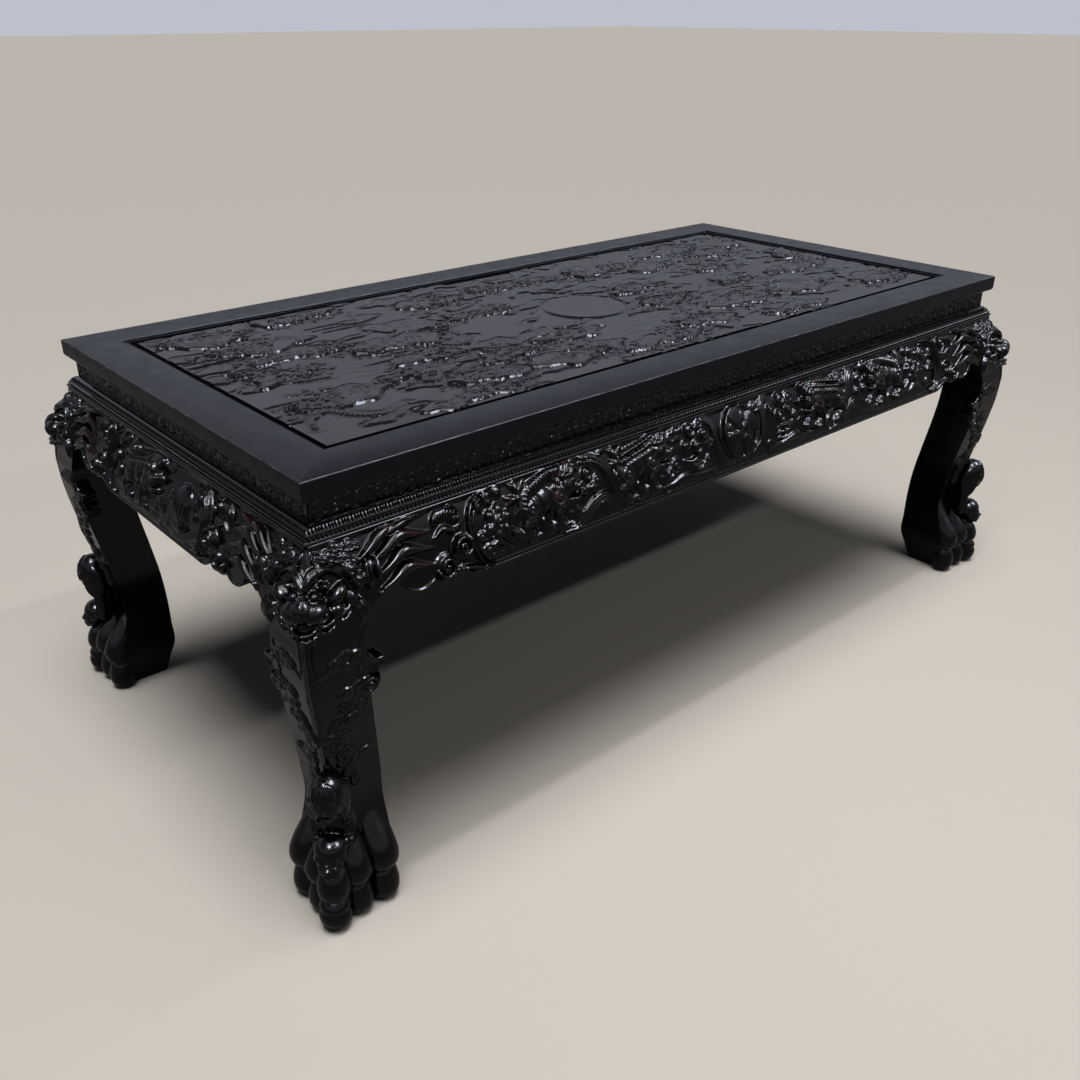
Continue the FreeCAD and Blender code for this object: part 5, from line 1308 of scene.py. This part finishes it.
        # Nothing reaches below the floor
        places = np.empty(len(master.data.vertices) * 3, np.float32)
        master.data.vertices.foreach_get("co", places)
        places[2::3] = np.maximum(places[2::3], 0)
        master.data.vertices.foreach_set("co", places)
        bpy.ops.object.shade_smooth_by_angle(angle=math.radians(75))
        finish_corners(master, "leg", gloss_lacquer(settings))
        return {"FINISHED"}


class PAINTING_OT_lions(TableOperator, bpy.types.Operator):
    """Four small lions climbing down the ankles"""

    bl_idname = "painting.lions"
    bl_label = "Ankle Lions"

    # Masses of the body: outwards from the corner, across, level, then the three half sizes
    LUMPS = (
        (16, 0, 240, 24, 27, 64), (34, 0, 264, 34, 33, 44), (15, 0, 200, 24, 29, 40),
        (24, 25, 246, 24, 12, 42), (24, -25, 246, 24, 12, 42), (17, 29, 190, 13, 11, 42), (17, -29, 190, 13, 11, 42),
        (46, 0, 160, 30, 30, 28), (56, 0, 139, 23, 24, 18), (63, 0, 127, 14, 16, 9),
        (28, 29, 168, 12, 9, 13), (28, -29, 168, 12, 9, 13),
    )

    def skin(self, w, z):
        """How far outwards the body reaches at a place across and up it."""
        best = 0.0
        for o, across, level_z, ro, rw, rz in self.LUMPS:
            rest = 1 - ((w - across) / rw) ** 2 - ((z - level_z) / rz) ** 2
            if rest > 0:
                best = max(best, o + ro * math.sqrt(rest))
        return best

    def execute(self, context):
        made = []

        def lump(o, w, z, ro, rw, rz, **more):
            x, y = (-o + w) / math.sqrt(2), (-o - w) / math.sqrt(2)
            made.append(ball(x, y, z, ro, rw, rz, turn=(0, 0, math.radians(45)), **more))

        def cord(points, radius, proud=1.0):
            """A raised line laid on the body through places across and up it."""
            for w, z in curve(points, 2.4):
                lump(self.skin(w, z) - radius * (1 - proud), w, z, radius, radius, radius, segments=8, rings=6)

        for values in self.LUMPS:
            lump(*values)
        coat, coat_proud = 2.8, 1.3
        for side in (-1, 1):
            # Haunch spiral, tail strands and the long lines of the coat
            cord(coil(14 * side, 258, 12, 1.6, 0.25, side)[::2], 3.0, 1.4)
            for k in range(3):
                strand = [((1 + 6 * k) * side, 303 - 3 * k), ((3 + 7 * k) * side, 296 - 4 * k),
                          ((1 + 8 * k) * side, 280 - 4 * k)]
                cord(strand, coat, coat_proud)
            cord([(27 * side, 270), (31 * side, 250), (33 * side, 222), (37 * side, 198), (35 * side, 172)],
                 coat, coat_proud)
            cord([(8 * side, 246), (14 * side, 236), (19 * side, 222), (24 * side, 200)], coat, coat_proud)
            # Neck curls
            for k in range(4):
                z = 180 + 5 * k
                out = self.skin((27 - 2 * k) * side, z) - 1
                lump(out, (28 - 3 * k) * side, z, 5, 5, 4.2, segments=12, rings=8)
            # Brow, eye, cheek and the corners of the mouth
            cord([(3 * side, 147), (9 * side, 152), (18 * side, 155), (25 * side, 151)], 4.2)
            lump(self.skin(11 * side, 144) + 1, 11 * side, 144, 5, 6, 4.4, segments=14, rings=8)
            cord([(3 * side, 134), (10 * side, 134), (17 * side, 130)], 3.8)
            cord([(2 * side, 124), (9 * side, 123.5), (15 * side, 126)], 3.2)
        # Nose
        lump(self.skin(0, 140) + 2, 0, 140.5, 6.5, 8, 5.2, segments=14, rings=8)
        piece = join("lion_master", made)
        melt(piece, 2 * MM)
        bpy.ops.object.shade_smooth()
        finish_corners(piece, "ankle_lion", gloss_lacquer(self.settings(context)))
        return {"FINISHED"}


class PAINTING_OT_joinery(TableOperator, bpy.types.Operator):
    """Finish of the battens and of the hidden dowels, keys and pegs"""

    bl_idname = "painting.joinery"
    bl_label = "Battens And Pins"

    def execute(self, context):
        material = plain_hardwood(self.settings(context))
        battens = [f"panel_batten_{k}" for k in (1, 2, 3, 4)]
        for node in battens + ["moulding_dowels", "apron_hanging_keys", "ankle_lion_pegs"]:
            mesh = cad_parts[node].data
            mesh.materials.clear()
            mesh.materials.append(material)
        return {"FINISHED"}


class PAINTING_OT_stage(TableOperator, bpy.types.Operator):
    """Plain pale floor and surround, soft light, what the lacquer mirrors, and the camera"""

    bl_idname = "painting.stage"
    bl_label = "Stage"

    # Two lamps that only the lacquer mirrors, each a soft halo and a bright core: the direction, the cosines of the
    # angles from it where the light begins and is full, and the strength
    NEAR_LAMP, FAR_LAMP = (0.45, -0.42, 0.79), (-0.36, -0.31, 0.88)
    GLOWS = ((NEAR_LAMP, 0.86, 0.97, 2.4), (NEAR_LAMP, 0.975, 0.99, 62.0),
             (FAR_LAMP, 0.86, 0.97, 3.0), (FAR_LAMP, 0.98, 0.993, 100.0))
    # A lit wall for the lacquer to mirror, dim at its foot, under a dark ceiling: heights of the view, then strengths
    WALL_FOOT, WALL_HEAD = (0.16, 0.36, 0.36, 1.35), (0.46, 0.68, 1.0, 0.3)
    AMBIENT, BACKDROP = 0.045, 0.86
    SUN_STRENGTH, SUN_SPREAD, SUN_TURN = 2.1, 36, (6, -4, 0)
    # Two long narrow lights over the table: places, size and power, and the level they face
    STRIPS = ((-0.4, -0.7, 2.8), (0.2, -2.7, 2.6))
    STRIP_SIZE, STRIP_POWER, STRIP_AIM = (2.4, 0.08), 12, 0.7
    CAMERA_PLACE, CAMERA_TURN, LENS, SENSOR = (-1.660, -1.779, 1.428), (63.22, 0, -41.02), 35.37, 36

    def floor(self, settings):
        """A plain floor, which the lacquer mirrors darker than the camera sees it."""
        deselect()
        bpy.ops.mesh.primitive_plane_add(size=120, location=(0, 0, -0.5 * MM))
        floor = bpy.context.object
        floor.name = "floor"
        material, tree, shader, _ = new_material("pale_floor")
        if tree is not None:
            mirrored = add_node(tree, "ShaderNodeLightPath").outputs["Is Glossy Ray"]
            tint = add_node(tree, "ShaderNodeMix", {0: mirrored, 6: settings.floor_colour, 7: settings.mirrored_floor},
                            data_type="RGBA")
            tree.links.new(tint.outputs[2], shader.inputs["Base Color"])
            shader.inputs["Roughness"].default_value = 0.85
            shader.inputs["Specular IOR Level"].default_value = 0.0
        floor.data.materials.append(material)

    def surround(self, context, settings):
        """A pale surround for the camera, and the wall, ceiling and lamps that the lacquer mirrors."""
        world = bpy.data.worlds.new("surround")
        context.scene.world = world
        world.use_nodes = True
        tree = world.node_tree
        tree.nodes.clear()
        path = add_node(tree, "ShaderNodeLightPath")
        rays = {0: path.outputs["Is Glossy Ray"], 1: path.outputs["Is Transmission Ray"]}
        glossy = add_node(tree, "ShaderNodeMath", rays, operation="MAXIMUM").outputs[0]
        way = add_node(tree, "ShaderNodeTexCoord").outputs["Generated"]
        up = add_node(tree, "ShaderNodeSeparateXYZ", {0: way}).outputs["Z"]
        foot, head = (add_node(tree, "ShaderNodeMapRange", dict(enumerate((up, *values)))).outputs[0]
                      for values in (self.WALL_FOOT, self.WALL_HEAD))
        room = add_node(tree, "ShaderNodeMath", {0: foot, 1: head}, operation="MULTIPLY").outputs[0]
        for direction, start, full, power in self.GLOWS:
            near = add_node(tree, "ShaderNodeVectorMath", {0: way, 1: direction}, operation="DOT_PRODUCT")
            beam = {0: near.outputs["Value"], 1: start, 2: full, 3: 0.0, 4: power}
            glow = add_node(tree, "ShaderNodeMapRange", beam, interpolation_type="SMOOTHSTEP")
            room = add_node(tree, "ShaderNodeMath", {0: room, 1: glow.outputs[0]}, operation="ADD").outputs[0]
        seen = add_node(tree, "ShaderNodeMath", {0: glossy, 1: room, 2: self.AMBIENT}, operation="MULTIPLY_ADD")
        camera = {0: path.outputs["Is Camera Ray"], 1: self.BACKDROP, 2: seen.outputs[0]}
        strength = add_node(tree, "ShaderNodeMath", camera, operation="MULTIPLY_ADD").outputs[0]
        back = add_node(tree, "ShaderNodeBackground", {"Color": settings.sky_colour, "Strength": strength})
        add_node(tree, "ShaderNodeOutputWorld", {"Surface": back.outputs[0]})

    def strip(self, name, place):
        """A long narrow light that leans towards the table."""
        data = bpy.data.lights.new(name, "AREA")
        data.shape = "RECTANGLE"
        data.size, data.size_y = self.STRIP_SIZE
        data.energy = self.STRIP_POWER
        lamp = bpy.data.objects.new(name, data)
        bpy.context.scene.collection.objects.link(lamp)
        lamp.location = place
        x, y, _ = place
        to = np.array((x, y * 0.4, self.STRIP_AIM)) - np.array(place)
        lamp.rotation_euler = (math.acos(-to[2] / np.linalg.norm(to)), 0, math.atan2(to[1], to[0]) - math.pi / 2)

    def execute(self, context):
        settings = self.settings(context)
        scene = context.scene
        self.floor(settings)
        self.surround(context, settings)
        sun = bpy.data.objects.new("ceiling", bpy.data.lights.new("ceiling", "SUN"))
        sun.data.energy = self.SUN_STRENGTH
        sun.data.angle = math.radians(self.SUN_SPREAD)
        sun.rotation_euler = [math.radians(turn) for turn in self.SUN_TURN]
        scene.collection.objects.link(sun)
        for k, place in enumerate(self.STRIPS):
            self.strip(f"strip_{k}", place)
        data = bpy.data.cameras.new("camera")
        data.lens, data.sensor_width = self.LENS, self.SENSOR
        camera = bpy.data.objects.new("camera", data)
        scene.collection.objects.link(camera)
        camera.location = self.CAMERA_PLACE
        camera.rotation_euler = [math.radians(turn) for turn in self.CAMERA_TURN]
        scene.camera = camera
        scene.view_settings.view_transform = "Standard"
        return {"FINISHED"}


STEPS = (PAINTING_OT_frame, PAINTING_OT_panel, PAINTING_OT_waists, PAINTING_OT_mouldings, PAINTING_OT_aprons,
         PAINTING_OT_legs, PAINTING_OT_lions, PAINTING_OT_joinery, PAINTING_OT_stage)


class PAINTING_PT_panel(bpy.types.Panel):
    """Builds the painting table step by step"""

    bl_idname = "PAINTING_PT_panel"
    bl_label = "Painting Table"
    bl_space_type = "VIEW_3D"
    bl_region_type = "UI"
    bl_category = "Painting Table"

    def draw(self, context):
        for name in PaintingTableSettings.__annotations__:
            self.layout.prop(context.scene.painting_table, name)
        for step in STEPS:
            self.layout.operator(step.bl_idname)


CLASSES = (PaintingTableSettings, *STEPS, PAINTING_PT_panel)


def register():
    for cls in CLASSES:
        bpy.utils.register_class(cls)
    bpy.types.Scene.painting_table = bpy.props.PointerProperty(type=PaintingTableSettings)


def unregister():
    del bpy.types.Scene.painting_table
    for cls in reversed(CLASSES):
        bpy.utils.unregister_class(cls)


def main():
    register()
    bpy.ops.painting.frame()
    bpy.ops.painting.panel()
    bpy.ops.painting.waists()
    bpy.ops.painting.mouldings()
    bpy.ops.painting.aprons()
    bpy.ops.painting.legs()
    bpy.ops.painting.lions()
    bpy.ops.painting.joinery()
    bpy.ops.painting.stage()


if __name__ == "__main__":
    main()
